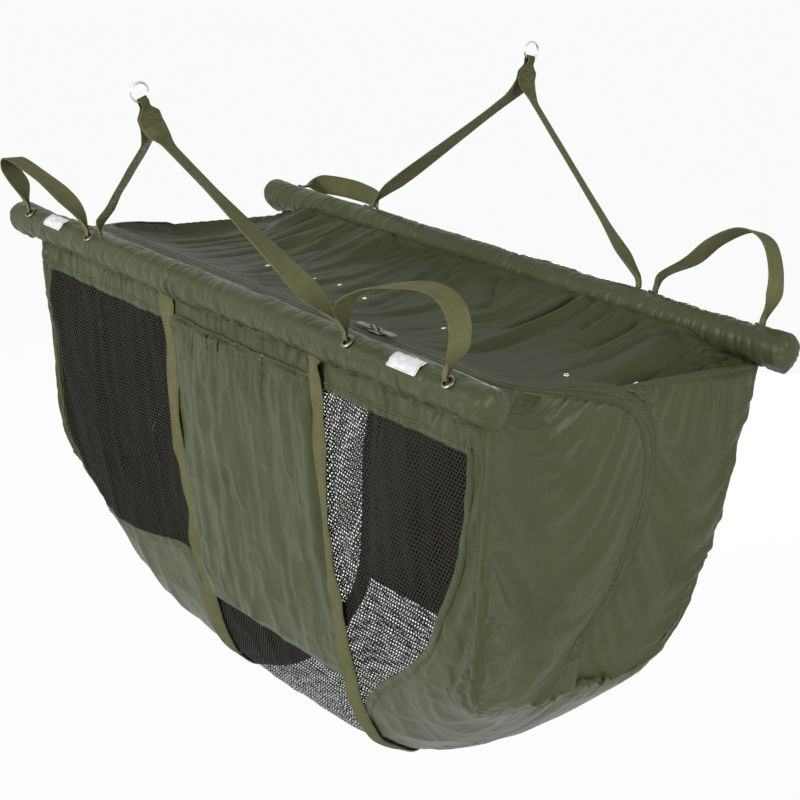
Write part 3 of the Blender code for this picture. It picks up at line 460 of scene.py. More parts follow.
def settle(grid, slack, frames, bending=0.6):
    """Lets cloth cut a little larger than its frame buckle and hang between its sewn edges."""
    rows, cols, _ = grid.shape
    mesh = new_mesh("settling", grid, [grid_faces(rows, cols, False)[0]])
    piece = bpy.data.objects.new("settling", mesh)
    scene = bpy.context.scene
    scene.collection.objects.link(piece)
    sewn = np.zeros((rows, cols), bool)
    sewn[0] = sewn[-1] = sewn[:, 0] = sewn[:, -1] = True
    piece.vertex_groups.new(name="sewn").add([int(i) for i in np.flatnonzero(sewn)], 1.0, "REPLACE")
    cloth = piece.modifiers.new("cloth", "CLOTH")
    settings = dict(SETTLING, bending_stiffness=bending, shrink_min=-slack, shrink_max=-slack)
    for name, value in settings.items():
        setattr(cloth.settings, name, value)
    cloth.collision_settings.use_collision = False
    cloth.collision_settings.use_self_collision = False
    for number in range(1, frames + 1):
        scene.frame_set(number)
    settled = piece.evaluated_get(bpy.context.evaluated_depsgraph_get())
    result = settled.to_mesh()
    found = np.empty(len(result.vertices) * 3)
    result.vertices.foreach_get("co", found)
    settled.to_mesh_clear()
    bpy.data.objects.remove(piece, do_unlink=True)
    bpy.data.meshes.remove(mesh)
    scene.frame_set(1)
    return found.reshape(rows, cols, 3) + np.array([0.0, 0.0, RISE])


def ribbon_points(path, across, width, thickness, twist=None):
    """Sections of flat webbing along a path, with a firm rounded edge on each side."""
    along = unit(np.gradient(path, axis=0))
    across = unit(across - along * (across * along).sum(axis=1, keepdims=True))
    flat = np.cross(across, along)
    if twist is not None:
        cos, sin = np.cos(twist)[:, None], np.sin(twist)[:, None]
        across, flat = across * cos + flat * sin, flat * cos - across * sin
    a = np.array([-1.0, -0.985, -0.94, -0.86, -0.72, -0.36, 0.0, 0.36, 0.72, 0.86, 0.94, 0.985, 1.0])
    b = np.array([0.0, 0.62, 0.95, 1.0, 0.80, 0.82, 0.84, 0.82, 0.80, 1.0, 0.95, 0.62, 0.0])
    section_a = np.concatenate([a, a[-2:0:-1]])
    section_b = np.concatenate([b, -b[-2:0:-1]])
    wide = np.broadcast_to(width, len(path))[:, None, None] / 2
    thick = np.broadcast_to(thickness, len(path))[:, None, None] / 2
    return (path[:, None] + across[:, None] * section_a[None, :, None] * wide
            + flat[:, None] * section_b[None, :, None] * thick)


def strip_on(sheet_points, normals, offsets, heights):
    """A narrow strip that lies along a curve on cloth: offsets sideways and heights outwards."""
    along = unit(np.gradient(sheet_points, axis=0))
    sideways = unit(np.cross(along, normals))
    offsets, heights = np.asarray(offsets), np.asarray(heights)
    return (sheet_points[:, None] + sideways[:, None] * offsets[None, :, None]
            + normals[:, None] * heights[None, :, None])


def stitch_mesh(rows, spacing=0.0032, length=0.0023, width=0.0007, height=0.0005):
    """Small raised grains of thread along rows of points with their normals."""
    points, faces, count = [], [], 0
    pattern = np.array([(0, 2, 4), (2, 1, 4), (1, 3, 4), (3, 0, 4),
                        (2, 0, 5), (1, 2, 5), (3, 1, 5), (0, 3, 5)])
    for places, normals in rows:
        centre, normal = even_walk(places, spacing, normals)
        along = unit(np.gradient(centre, axis=0))
        normal = unit(normal)
        side = unit(np.cross(normal, along))
        grain = np.stack([centre - along * length / 2, centre + along * length / 2, centre + side * width / 2,
                          centre - side * width / 2, centre + normal * height, centre - normal * height / 2],
                         axis=1)
        points.append(grain.reshape(-1, 3))
        faces.append((pattern[None] + (count + 6 * np.arange(len(centre)))[:, None, None]).reshape(-1, 3))
        count += 6 * len(centre)
    return np.concatenate(points), np.concatenate(faces)


def sew(name, rows, body, node, *grain):
    """Draws rows of stitches as one piece: their spacing, then the length, width and height of a stitch."""
    points, faces = stitch_mesh(rows, *grain)
    place_piece(name, new_mesh("stitches", points, [faces]), "thread", body, node)


def turned(profile, place, axis, steps):
    """Points of a ring-shaped piece: a profile of (radius, height) turned round an axis at a place."""
    axis = unit(np.asarray(axis, float))
    helper = np.array([1.0, 0.0, 0.0]) if abs(axis[0]) < 0.9 else np.array([0.0, 1.0, 0.0])
    first = unit(np.cross(axis, helper))
    second = np.cross(axis, first)
    angle = 2 * math.pi * np.arange(steps) / steps
    radius, height = np.asarray(profile, float).T
    outwards = first * np.cos(angle)[:, None] + second * np.sin(angle)[:, None]
    return (np.asarray(place, float) + outwards[:, None] * radius[None, :, None]
            + axis * height[None, :, None])


def ring_set(profile, places, axes, steps):
    """Many like rings as one mesh: points and faces."""
    size = steps * len(profile)
    quads = grid_faces(steps + 1, len(profile), True)[0] % size
    points = [turned(profile, place, axis, steps).reshape(-1, 3) for place, axis in zip(places, axes)]
    return np.concatenate(points), np.concatenate([quads + size * i for i in range(len(points))])


# Materials

WAVE_SCALE = 0.314  # the scale at which a wave texture has one band to the metre
WHITE = (1.0, 1.0, 1.0, 1.0)
FLOOR_GLOW = 0.95  # the share of the floor's white that is its own


def add_node(material, kind, settings=None, links=()):
    """Adds a node, sets its properties and sockets, and links the sockets named."""
    node = material.node_tree.nodes.new(kind)
    for name, value in (settings or {}).items():
        if isinstance(name, int) or name in node.inputs:
            node.inputs[name].default_value = value
        else:
            setattr(node, name, value)
    for name, source in links:
        material.node_tree.links.new(source, node.inputs[name])
    return node


class Surface:
    """A material in the making: its shader, the texture places and the textures that feed it."""

    def __init__(self, name, roughness, **sockets):
        self.made = bpy.data.materials.new(name)
        self.made.use_nodes = True
        self.shader = self.made.node_tree.nodes["Principled BSDF"]
        for socket, value in {"Roughness": roughness, **sockets}.items():
            self.shader.inputs[socket.replace("_", " ")].default_value = value
        self.places = self.node("ShaderNodeTexCoord").outputs

    def node(self, kind, settings=None, links=()):
        return add_node(self.made, kind, settings, links)

    def feed(self, socket, source):
        self.made.node_tree.links.new(source, self.shader.inputs[socket])

    def math(self, operation, first, second):
        sockets = [(0, first), (1, second)]
        return self.node("ShaderNodeMath", {"operation": operation}, sockets).outputs["Value"]

    def bands(self, direction, spacing, distortion=0.0):
        """Bands this far apart in metres, across one way of the pattern the cloth was cut with."""
        return self.node("ShaderNodeTexWave", {"Scale": WAVE_SCALE / spacing, "Distortion": distortion,
                                               "Detail": 1.0, "bands_direction": direction},
                         [("Vector", self.places["UV"])]).outputs["Fac"]

    def cloudy(self, scale, detail, roughness=0.5, distortion=0.0):
        """Soft noise, with this many features to the metre."""
        return self.node("ShaderNodeTexNoise", {"Scale": scale, "Detail": detail, "Roughness": roughness,
                                                "Distortion": distortion},
                         [("Vector", self.places["Object"])]).outputs["Fac"]

    def tones(self, colour, dark_share, scale):
        """Base colour that drifts between two tones, as dye and handling leave it."""
        ramp = self.node("ShaderNodeValToRGB", {}, [("Fac", self.cloudy(scale, 3.0))])
        dark = [value * dark_share for value in colour[:3]] + [1.0]
        for stop, position, tone in zip(ramp.color_ramp.elements, (0.30, 0.70), (dark, colour)):
            stop.position, stop.color = position, tone
        self.feed("Base Color", ramp.outputs["Color"])
        return ramp.outputs["Color"]

    def shade(self, colour, height, **limits):
        """The colour darkened and lightened by a height, between these limits."""
        settings = {name.replace("_", " "): value for name, value in limits.items()}
        shade = self.node("ShaderNodeMapRange", settings, [("Value", height)])
        mixed = self.node("ShaderNodeMix", {"data_type": "RGBA", "blend_type": "MULTIPLY", 0: 1.0},
                          [(6, colour), (7, shade.outputs["Result"])])
        self.feed("Base Color", mixed.outputs[2])

    def bump(self, height, distance, strength=1.0, below=None, invert=False):
        """Raises the surface by a height, over a coarser bump if one is given."""
        links = [("Height", height)] + ([("Normal", below)] if below else [])
        raised = self.node("ShaderNodeBump", {"Strength": strength, "Distance": distance, "invert": invert},
                           links).outputs["Normal"]
        self.feed("Normal", raised)
        return raised

    def weave(self, spacing, depth, wrinkle, wrinkle_scale):
        """Threads crossing at right angles, laid out in metres, over small handling wrinkles."""
        threads = self.math("MULTIPLY", self.bands("X", spacing, 0.6), self.bands("Y", spacing, 0.6))
        low = self.bump(self.cloudy(wrinkle_scale, 3.0, 0.55, 0.4), wrinkle)
        self.bump(threads, depth, below=low)


def coated_nylon(colour, name, gloss):
    """Plain-woven nylon with a satin coating: soft gloss along the folds, and hardly any thread to see.

    Real threads are 0.2 mm apart. They are drawn 0.8 mm apart, so that a trace of them shows.
    """
    surface = Surface(name, 0.36, IOR=1.46, Specular_IOR_Level=gloss)
    surface.tones(colour, 0.84, 9.0)
    surface.weave(0.0008, 0.00004, 0.0016, 48.0)
    return surface.made


def woven_webbing(colour):
    """Polypropylene webbing in a close rib weave: matt, with a rib every 1.6 mm and firm edges."""
    surface = Surface("polypropylene_webbing_woven", 0.74, IOR=1.49, Specular_IOR_Level=0.20)
    both = surface.math("ADD", surface.bands("Y", 0.0016, 1.2), surface.bands("X", 0.0011, 0.8))
    # Painted shade in the hollows between the ribs and painted highlight on their tops: the colour follows
    # the ribs' height.
    surface.shade(surface.tones(colour, 0.80, 55.0), both, From_Max=2.0, To_Min=0.50, To_Max=1.35)
    surface.bump(both, 0.00040)
    return surface.made


def knitted_net(colour):
    """Warp-knitted polyester net: dull near-black thread with a faint fibre grain."""
    surface = Surface("polyester_net_knitted", 0.72, IOR=1.55, Specular_IOR_Level=0.20)
    surface.tones(colour, 0.7, 400.0)
    surface.bump(surface.cloudy(2500.0, 2.0), 0.0002, 0.6)
    return surface.made


def sewing_thread(colour):
    """Bonded polyester thread: a little brighter than the cloth where it crosses a seam."""
    surface = Surface("polyester_thread_twisted", 0.55, IOR=1.55)
    surface.tones(colour, 0.75, 300.0)
    return surface.made


def zip_tape_cloth(colour):
    """Zip tape, woven polyester in a close twill: matt, a shade lighter than the coated cloth."""
    surface = Surface("polyester_tape_twill", 0.70, IOR=1.53, Specular_IOR_Level=0.20)
    surface.tones(colour, 0.85, 60.0)
    surface.weave(0.0009, 0.00012, 0.0002, 150.0)
    return surface.made


def moulded_coil(colour):
    """Nylon coil teeth, drawn and wound: dark, smooth and slightly glossy."""
    surface = Surface("nylon_coil_wound", 0.38, IOR=1.53)
    surface.tones(colour, 0.8, 200.0)
    return surface.made


def plated_metal(colour, name, roughness):
    """Plating on steel: bright where it is new, with fine wear scratches. In its darker copy the colour is
    painted shade.
    """
    surface = Surface(name, roughness, Metallic=1.0)
    surface.tones(colour, 0.88, 160.0)
    wear = surface.cloudy(900.0, 4.0, 0.7)
    surface.bump(wear, 0.00008, 0.35)
    rough = surface.node("ShaderNodeMapRange", {"To Min": roughness - 0.06, "To Max": roughness + 0.12},
                         [("Value", wear)])
    surface.feed("Roughness", rough.outputs["Result"])
    return surface.made


def closed_cell_foam(colour):
    """Polyethylene foam rod, blown and cut: matt pale grey with small open cells."""
    surface = Surface("polyethylene_foam_blown", 0.88, IOR=1.50)
    surface.tones(colour, 0.85, 90.0)
    cells = surface.node("ShaderNodeTexVoronoi", {"Scale": 900.0}, [("Vector", surface.places["Object"])])
    surface.bump(cells.outputs["Distance"], 0.0004, 0.8)
    return surface.made


def reflective_tape(colour):
    """Reflective tape, glass beads set in a film: pale silver with a faint lattice of sealed cells."""
    surface = Surface("glass_bead_tape_pressed", 0.42, IOR=1.50, Coat_Weight=0.3, Coat_Roughness=0.2)
    cells = surface.math("MAXIMUM", surface.bands("X", 0.0024), surface.bands("Y", 0.0024))
    surface.shade(surface.tones(colour, 0.90, 140.0), cells, From_Min=0.9, To_Min=1.0, To_Max=0.86)
    surface.bump(cells, 0.0001, 0.4, invert=True)
    return surface.made


# Each kind of material, under the name of its colour in the panel
MAKERS = {
    "cloth": (coated_nylon, "nylon_taffeta_coated", 0.16),
    # The lid's copy of the cloth, darker and with less gloss: painted shade for the lid, which lies out of
    # the light.
    "lid_shaded_cloth": (coated_nylon, "nylon_taffeta_coated_light", 0.05),
    "webbing": (woven_webbing,),
    "net": (knitted_net,),
    "thread": (sewing_thread,),
    "zip_tape": (zip_tape_cloth,),
    "coil": (moulded_coil,),
    "steel": (plated_metal, "steel_nickel_plated", 0.24),
    # A darker copy of the plated steel: painted shade on the pressed eyelets, sliders and pulls.
    "shaded_steel": (plated_metal, "brass_blackened", 0.36),
    "foam": (closed_cell_foam,),
    "label": (reflective_tape,),
}


def look(kind):
    """The material of one kind, made the first time it is asked for, in the panel's colour."""
    if kind not in LOOKS:
        maker, *more = MAKERS[kind]
        LOOKS[kind] = maker(getattr(bpy.context.scene.sling_colours, kind), *more)
    return LOOKS[kind]


# Materials by kind, and finished sheets of cloth by side or by part, filled as the steps run
LOOKS = {}
SHEETS = {}


# The bag's surfaces

SECTION_SHARES = np.linspace(0, 1, 401)
SECTION_TABLES = {key: curve_at(points, SECTION_SHARES) for key, points in SECTIONS.items()}


def section(side, kind, share):
    table = SECTION_TABLES[(side, kind)]
    return np.interp(share, SECTION_SHARES, table[:, 0]), np.interp(share, SECTION_SHARES, table[:, 1])


def seam_x(side, end, depth_share):
    """The end seam's place along the float."""
    left = LEFT_SEAM_TOP + (LEFT_SEAM_BASE - LEFT_SEAM_TOP) * np.asarray(depth_share, float)
    turned_in = np.maximum(depth_share, 0.0) ** RIGHT_SEAM_TURN
    right = BACK_SEAM if side > 0 else RIGHT_SEAM_TOP + (RIGHT_SEAM_BASE - RIGHT_SEAM_TOP) * turned_in
    return np.where(np.asarray(end) < 0, left, right) * HALF_LENGTH


def bare_wall(side, u, share):
    """A wall's plain surface: u from -1 at the left seam to 1 at the right, share down to the fold."""
    u, share = np.broadcast_arrays(np.asarray(u, float), np.asarray(share, float))
    end_y, end_z = section(side, "end", share)
    middle_y, middle_z = section(side, "middle", share)
    belly = 1.0 - np.abs(u) ** np.where(u > 0, RIGHT_FULLNESS, LEFT_FULLNESS)
    z_end = WALL_TOP - END_DEPTH * end_z
    z_middle = WALL_TOP - (END_DEPTH + BELLY_DROP) * middle_z
    y = (end_y + (middle_y - end_y) * belly) * HALF_SPACING
    z = z_end + (z_middle - z_end) * belly
    if side < 0:
        y = y + LEFT_TUCK * smooth(0.70, 1.0, -u) * smooth(0.05, 0.55, end_z) * smooth(-0.25, -0.60, end_y)
    y = y + side * GAP / 2 * share
    x = u * seam_x(side, u, end_z)
    beside_seam = np.abs(u) ** 30 * smooth(0, 0.12, share) * smooth(1.0, 0.9, share)
    x = x + 0.0022 * beside_seam * noise(z / 0.030, 3.1 * side, 21)
    return np.stack([x, y, z], axis=-1)


def u_of(side, x_share, share):
    """Turns a share of the float's half length into u at this depth."""
    _, end_z = section(side, "end", share)
    return x_share * HALF_LENGTH / seam_x(side, x_share, end_z)


def values_at(values, share):
    return curve_at(values, np.asarray(share, float))[..., 0]


def below_band(b):
    return BAND_SHARE + (1.0 - BAND_SHARE) * b


def above_fold(share):
    return (share - BAND_SHARE) / (1.0 - BAND_SHARE)


def wall_sheet(side):
    """The wall with its folds: puckered under the sleeve, gathered at the end seams, slack between."""
    sizes = bpy.context.scene.sling_sizes
    u, share = np.meshgrid(np.linspace(-1, 1, 141), np.linspace(0, 1, 81))
    rows, cols = 211, 441
    fine = Sheet(settle(bare_wall(side, u, share), sizes.wall_slack, 26)).finer(rows, cols)
    x, down = np.meshgrid(np.linspace(-1, 1, cols) * WALL_HALF, np.linspace(0, 1, rows) * WALL_RUN)
    edge = np.minimum(WALL_HALF - np.abs(x), 0.5)
    top = np.exp(-down / 0.032) * smooth(0.0, 0.004, down)
    height = (sizes.pucker_depth * top * pleats(x, down, 0.0085, 31 + side)
              + 0.0013 * np.exp(-edge / 0.030) * pleats(down, x, 0.013, 41 + side)
              + 0.0018 * crinkle(x / 0.040, down / 0.060, 51 + side)
              + 0.0024 * noise(x / 0.085, down / 0.20, 61 + side))
    return fine.moved(height * smooth(0.0, 0.005, edge) * smooth(WALL_RUN, WALL_RUN - 0.015, down))


def wall_at(side, x_share, share, out=0.0):
    """A place on a finished wall, by share of the float's half length and share of its depth."""
    return SHEETS[side].at((u_of(side, x_share, share) + 1) / 2, share, out)


def wall_normal(side, x_share, share):
    return SHEETS[side].normal((u_of(side, x_share, share) + 1) / 2, share)


def net_path(side, end, b):
    """The net's edge from its top to the fold, and the share down the seam of the cloth beside it."""
    if (side, end) != (-1, -1):
        share = below_band(b)
        return values_at(NET_EDGES[(side, end)], b), share, share
    edge, share, seam_share = curve_at(LEFT_NET_PATH, b).T
    return edge, np.clip(share, BAND_SHARE, 1.0), np.clip(seam_share, BAND_SHARE, 1.0)


def right_of_left_edge(side, x_share, share):
    """Whether a place on a wall is inside the net's left edge, with a little over to sew in."""
    steps = 400
    edge, down, _ = net_path(side, -1, np.linspace(0, 1, steps + 1))
    if side > 0:
        return x_share > np.interp(share, down, edge) - NET_SEWN_IN
    turn, last = (round(steps * part) for part in LEFT_NET_TURNS)
    beside = x_share > np.interp(share, down[:turn], edge[:turn]) - NET_SEWN_IN
    above = share < np.interp(x_share, edge[turn:last], down[turn:last]) + NET_SEWN_IN
    return (x_share > edge[last]) | (beside & above)


def under_bag(reader, count):
    """Reads a line down the front wall, under the bag and up the back wall."""
    share = np.linspace(0, 1, count)
    front = reader(-1, share)
    back = reader(1, share[::-1])
    return [np.concatenate([f, b[1:]]) for f, b in zip(front, back)]


# The zip's line

def zip_half(end):
    """The zip's own knots from the straight run to one end's foot, and the way out at each."""
    places, leans = [], []
    for out, y_share, z_share, lean in ZIP_TURN:
        seam = float(seam_x(1, end, z_share or 0.0))
        z = LID_LEVEL if z_share is None else LID_LEVEL - END_DEPTH * z_share
        tilt = math.radians(lean)
        places.append((end * (seam + out), y_share * HALF_SPACING, max(z, BASE_Z + 0.002)))
        leans.append((end * math.sin(tilt), 0.0, math.cos(tilt)))
    return np.array(places), np.array(leans)


def zip_frame(end, position):
    """Points, outward directions and directions to the front along one end's half of the zip."""
    places, leans = zip_half(end)
    share = np.asarray(position, float) / TURN_STEPS
    step = 0.05 / TURN_STEPS
    place = curve_at(places, share)
    after, before = (curve_at(places, np.clip(share + way * step, 0, 1)) for way in (1, -1))
    along = unit((after - before) * end)
    lean = curve_at(leans, share)
    lean = unit(lean - along * (lean * along).sum(axis=1, keepdims=True))
    return place, lean, unit(np.cross(along, lean))


def zip_edge(end, positions, side):
    """The cloth's edge beside the zip: side -1 is the front edge."""
    place, _, front = zip_frame(end, positions)
    return place - front * side * (TAPE_HALF + GAP)


def edge_over_lid(corner, side, finer):
    """The cloth's edge from the left corner over the lid to the right one, in the CAD's own steps."""
    steps = max(1, round(corner * 2)) * finer
    left = zip_edge(-1, np.linspace(corner, 0, steps + 1), side)
    right = zip_edge(1, np.linspace(0, corner, steps + 1), side)
    run = line(left[-1], right[0], 9 * finer + 1)
    return np.concatenate([left, run[1:-1], right])


def whole_zip(per_step):
    """The closed zip from its left foot to its right foot."""
    positions = np.linspace(0, TURN_STEPS, TURN_STEPS * per_step + 1)
    left, right = zip_frame(-1, np.linspace(TURN_STEPS, 0, len(positions))), zip_frame(1, positions)
    return [np.concatenate([a, line(a[-1], b[0], 12 * per_step)[1:-1], b]) for a, b in zip(left, right)]


def sleeve_line(side, xs):
    """The lid's edge along a sleeve: at its side, and turning under it towards both ends."""
    reach = max(abs(xs[0]), abs(xs[-1]))
    turn = np.radians(LID_TURN * smooth(0.80, 1.0, np.abs(xs) / reach))
    radius = SLEEVE + 2.5 * GAP + 0.0004 * np.sin(turn)
    return np.stack([xs, side * (HALF_SPACING - radius * np.cos(turn)), -radius * np.sin(turn)], axis=-1)


def scaled_xs(points, right_seam):
    """Stretches places along the zip to the same shares of the way between the seams."""
    x = points[:, 0]
    left = x / x[0] * -(LEFT_SEAM_TOP * HALF_LENGTH - 0.005)
    right = x / x[-1] * (right_seam * HALF_LENGTH - 0.005)
    return np.where(x < 0, left, right)


def lid_sheet():
    """The lid behind the zip, sagging, with folds that run from its gathered seam on the back float."""
    finer = 7
    front = edge_over_lid(TURN_CORNER, 1, finer)
    back = sleeve_line(1, scaled_xs(front, BACK_SEAM))
    sides = []
    for end, corner in ((-1, back[0]), (1, back[-1])):
        down = zip_edge(end, np.linspace(TURN_CORNER, TURN_CREASE - 0.03, 6 * finer + 1), 1)
        sides.append(np.concatenate([down, line(down[-1], corner, 5 * finer + 1)[1:]]))
    grid = patch(*sides, front, back)
    rows, cols, _ = grid.shape
    a, b = shares(cols, rows)
    grid[..., 2] -= LID_SAG * (1 - (2 * a - 1) ** 6) * (1 - (2 * b - 1) ** 2)
    rows, cols = 230, 480
    fine = Sheet(settle(grid, bpy.context.scene.sling_sizes.lid_slack, 24, 0.4)).finer(rows, cols)
    a, b = shares(cols, rows)
    x, y = fine.grid[..., 0], fine.grid[..., 1]
    edges = smooth(0, 0.03, a) * smooth(1, 0.97, a) * smooth(0, 0.03, b) * smooth(1, 0.975, b)
    gather = 0.35 + 0.65 * smooth(0.35, 1.0, b)
    lean = x + (0.25 * noise(x / 0.16, 0.0, 70) + 0.10) * y
    height = (0.0050 * pleats(lean, y, 0.026, 71) * gather
              + 0.0040 * np.exp((b - 1) / 0.12) * pleats(x, y, 0.0135, 73)
              + 0.0007 * crinkle(x / 0.040, y / 0.060, 74) + 0.0034 * noise(lean / 0.07, y / 0.14, 75))
    return fine.moved(height * edges)


def strip_sheet():
    """The narrow strip of lid between the front sleeve and the zip."""
    finer = 7
    zip_front = edge_over_lid(TURN_CORNER - 0.03, -1, finer)
    sleeve = sleeve_line(-1, scaled_xs(zip_front, RIGHT_SEAM_TOP))
    left, right = (line(sleeve[end], zip_front[end], 3 * finer) for end in (0, -1))
    rows, cols = 50, 480
    fine = Sheet(patch(left, right, sleeve, zip_front)).finer(rows, cols)
    a, b = shares(cols, rows)
    x, y = fine.grid[..., 0], fine.grid[..., 1]
    edges = smooth(0, 0.03, a) * smooth(1, 0.97, a) * smooth(0, 0.1, b) * smooth(1, 0.85, b)
    height = 0.0013 * pleats(x, y, 0.016, 81) + 0.0006 * crinkle(x / 0.03, y / 0.03, 82)
    return fine.moved(height * edges)


def end_sheet(side, end):
    """Half of an end wall, between the corner seam and the zip, loosely cut and creased."""
    start = TURN_CORNER if side < 0 else TURN_CREASE
    outer = bare_wall(side, float(end), np.linspace(0, 1, 400)) + np.array([end * 0.0005, 0, 0])
    stop = FOLD_Y + side * (TAPE_HALF + 2 * GAP)
    outer = outer[side * (outer[:, 1] - stop) >= 0]
    rows, cols = 84, 52
    outer = even_walk(outer, None, count=rows)[0]
    inner = zip_edge(end, np.linspace(start + 0.03, TURN_STEPS, rows), side)
    grid = patch(outer, inner, line(outer[0], inner[0], cols), line(outer[-1], inner[-1], cols))
    rows, cols = 250, 170
    fine = Sheet(settle(grid, bpy.context.scene.sling_sizes.end_slack, 26, 0.5)).finer(rows, cols)
    a, b = shares(cols, rows)
    y, z = fine.grid[..., 1], fine.grid[..., 2]
    width = 0.14
    seam, hem = a * width, (1 - a) * width
    edges = smooth(0, 0.03, a) * smooth(1, 0.975, a) * smooth(0, 0.03, b) * smooth(1, 0.975, b)
    seed = 91 + 7 * side + 3 * end
    height = (0.0016 * np.exp(-seam / 0.022) * pleats(z, y, 0.011, seed)
              + 0.0010 * np.exp(-hem / 0.016) * pleats(z, y, 0.010, seed + 1)
              + 0.0022 * crinkle((y + 0.6 * z) / 0.07, (z - 0.5 * y) / 0.11, seed + 2)
              + 0.0058 * noise((y + 0.3 * z) / 0.060, z / 0.16, seed + 3))
    return fine.moved(height * edges)


# Pieces

MOST_AREA = 0.97  # and the most, above which the rectangle is made larger


def cloth_sheet(piece, width, length, *rests_on):
    """Works out the flat size of a hung sheet of cloth from the area of the mesh that was cut for it; nothing
    is kept.
    """
    area = sum(face.area for face in piece.data.polygons)
    scale = math.sqrt(max(1.0, area / (width * length) / MOST_AREA))
    width, length = width * scale, length * scale


def radial(side, degrees, radius, x=0.0):
    """A place round a float's axis, at an angle from straight up towards the outside."""
    angle = np.radians(degrees)
    x, angle, radius = np.broadcast_arrays(x, angle, radius)
    return np.stack([x, side * (HALF_SPACING + radius * np.sin(angle)), radius * np.cos(angle)], axis=-1)


def outwards(side, degrees, x=0.0):
    """The way out from a float's axis at that angle."""
    return radial(side, degrees, 1.0, x) - radial(side, degrees, 0.0, x)


def metres(name, says, value, low, high):
    return FloatProperty(name=name, description=says, default=value, min=low, max=high, unit="LENGTH")


def slack(name, says, value):
    return FloatProperty(name=name, description=says, default=value, min=0.0, max=0.08)


def colour(name, says, code):
    return FloatVectorProperty(name=name, description=says, subtype="COLOR", size=4, min=0, max=1,
                               default=linear(code))


def watts(name, says, value):
    return FloatProperty(name=name, description=says, default=value, min=0, max=500, unit="POWER")


class SlingSizes(PropertyGroup):
    """Sizes that change how the soft pieces are drawn."""
    net_pitch: metres("Net cell", "Distance between the net's cells", 0.0046, 0.002, 0.02)
    net_thread: metres("Net thread", "Width of the net's thread between two cells", 0.0017, 0.0003, 0.005)
    stitch_spacing: metres("Stitch spacing", "Distance from stitch to stitch", 0.0034, 0.001, 0.01)
    pucker_depth: metres("Pucker depth", "Depth of the puckers under the sleeves", 0.0030, 0.0, 0.006)
    gather_depth: metres("Gather depth", "Depth of the gathers round the floats", 0.0024, 0.0, 0.004)
    wall_slack: slack("Wall slack", "Share by which the walls are cut too large", 0.006)
    lid_slack: slack("Lid slack", "Share by which the lid is cut too large", 0.012)
    end_slack: slack("End slack", "Share by which the ends are cut too large", 0.014)
    drain_diameter: metres("Drain eyelet", "Outer diameter of a drain eyelet", 0.0060, 0.003, 0.02)


class SlingColours(PropertyGroup):
    """Colours of the sling's materials."""
    cloth: colour("Cloth", "Coated nylon of the walls, ends and sleeves", "#484e33")
    # The lid's colour: the cloth's colour made a little darker, as painted shade.
    lid_shaded_cloth: colour("Shaded lid cloth", "Coated nylon of the lid, darker and less glossy as painted shade", "#454b33")
    webbing: colour("Webbing", "Woven webbing of straps, handles and hangers", "#75754f")
    net: colour("Net", "Knitted net", "#1d1b16")
    thread: colour("Thread", "Sewing thread", "#343925")
    zip_tape: colour("Zip tape", "Woven tape of the zip", "#4b5237")
    coil: colour("Zip coil", "Coil teeth of the zip", "#454b33")
    steel: colour("Plated steel", "Hanging rings and drain eyelets", "#d6d4cd")
    # The plated steel's colour made darker, as painted shade.
    shaded_steel: colour("Shaded plated steel", "Pressed eyelets, sliders and pulls", "#7b766a")
    foam: colour("Foam", "Foam rods in the floats", "#999b98")
    label: colour("Label", "Blank reflective labels", "#f2f2f6")


class SlingStage(PropertyGroup):
    """Camera, lamps and floor."""
    lens: FloatProperty(name="Lens", description="Focal length", default=80.58, min=10, max=300,
                        unit="CAMERA")
    world_light: FloatProperty(name="World light", description="Strength of the even light from all round",
                               default=0.17, min=0, max=5)
    key_light: watts("Key lamp", "Power of the large lamp over the front", 48.0)
    fill_light: watts("Fill lamp", "Power of the lamp beside the right end", 32.0)
    back_light: watts("Back lamp", "Power of the lamp behind the bag and to its left", 40.0)
    floor_drop: metres("Floor drop", "Room under the belly, where the front half opens", 0.250, 0.0, 1.0)


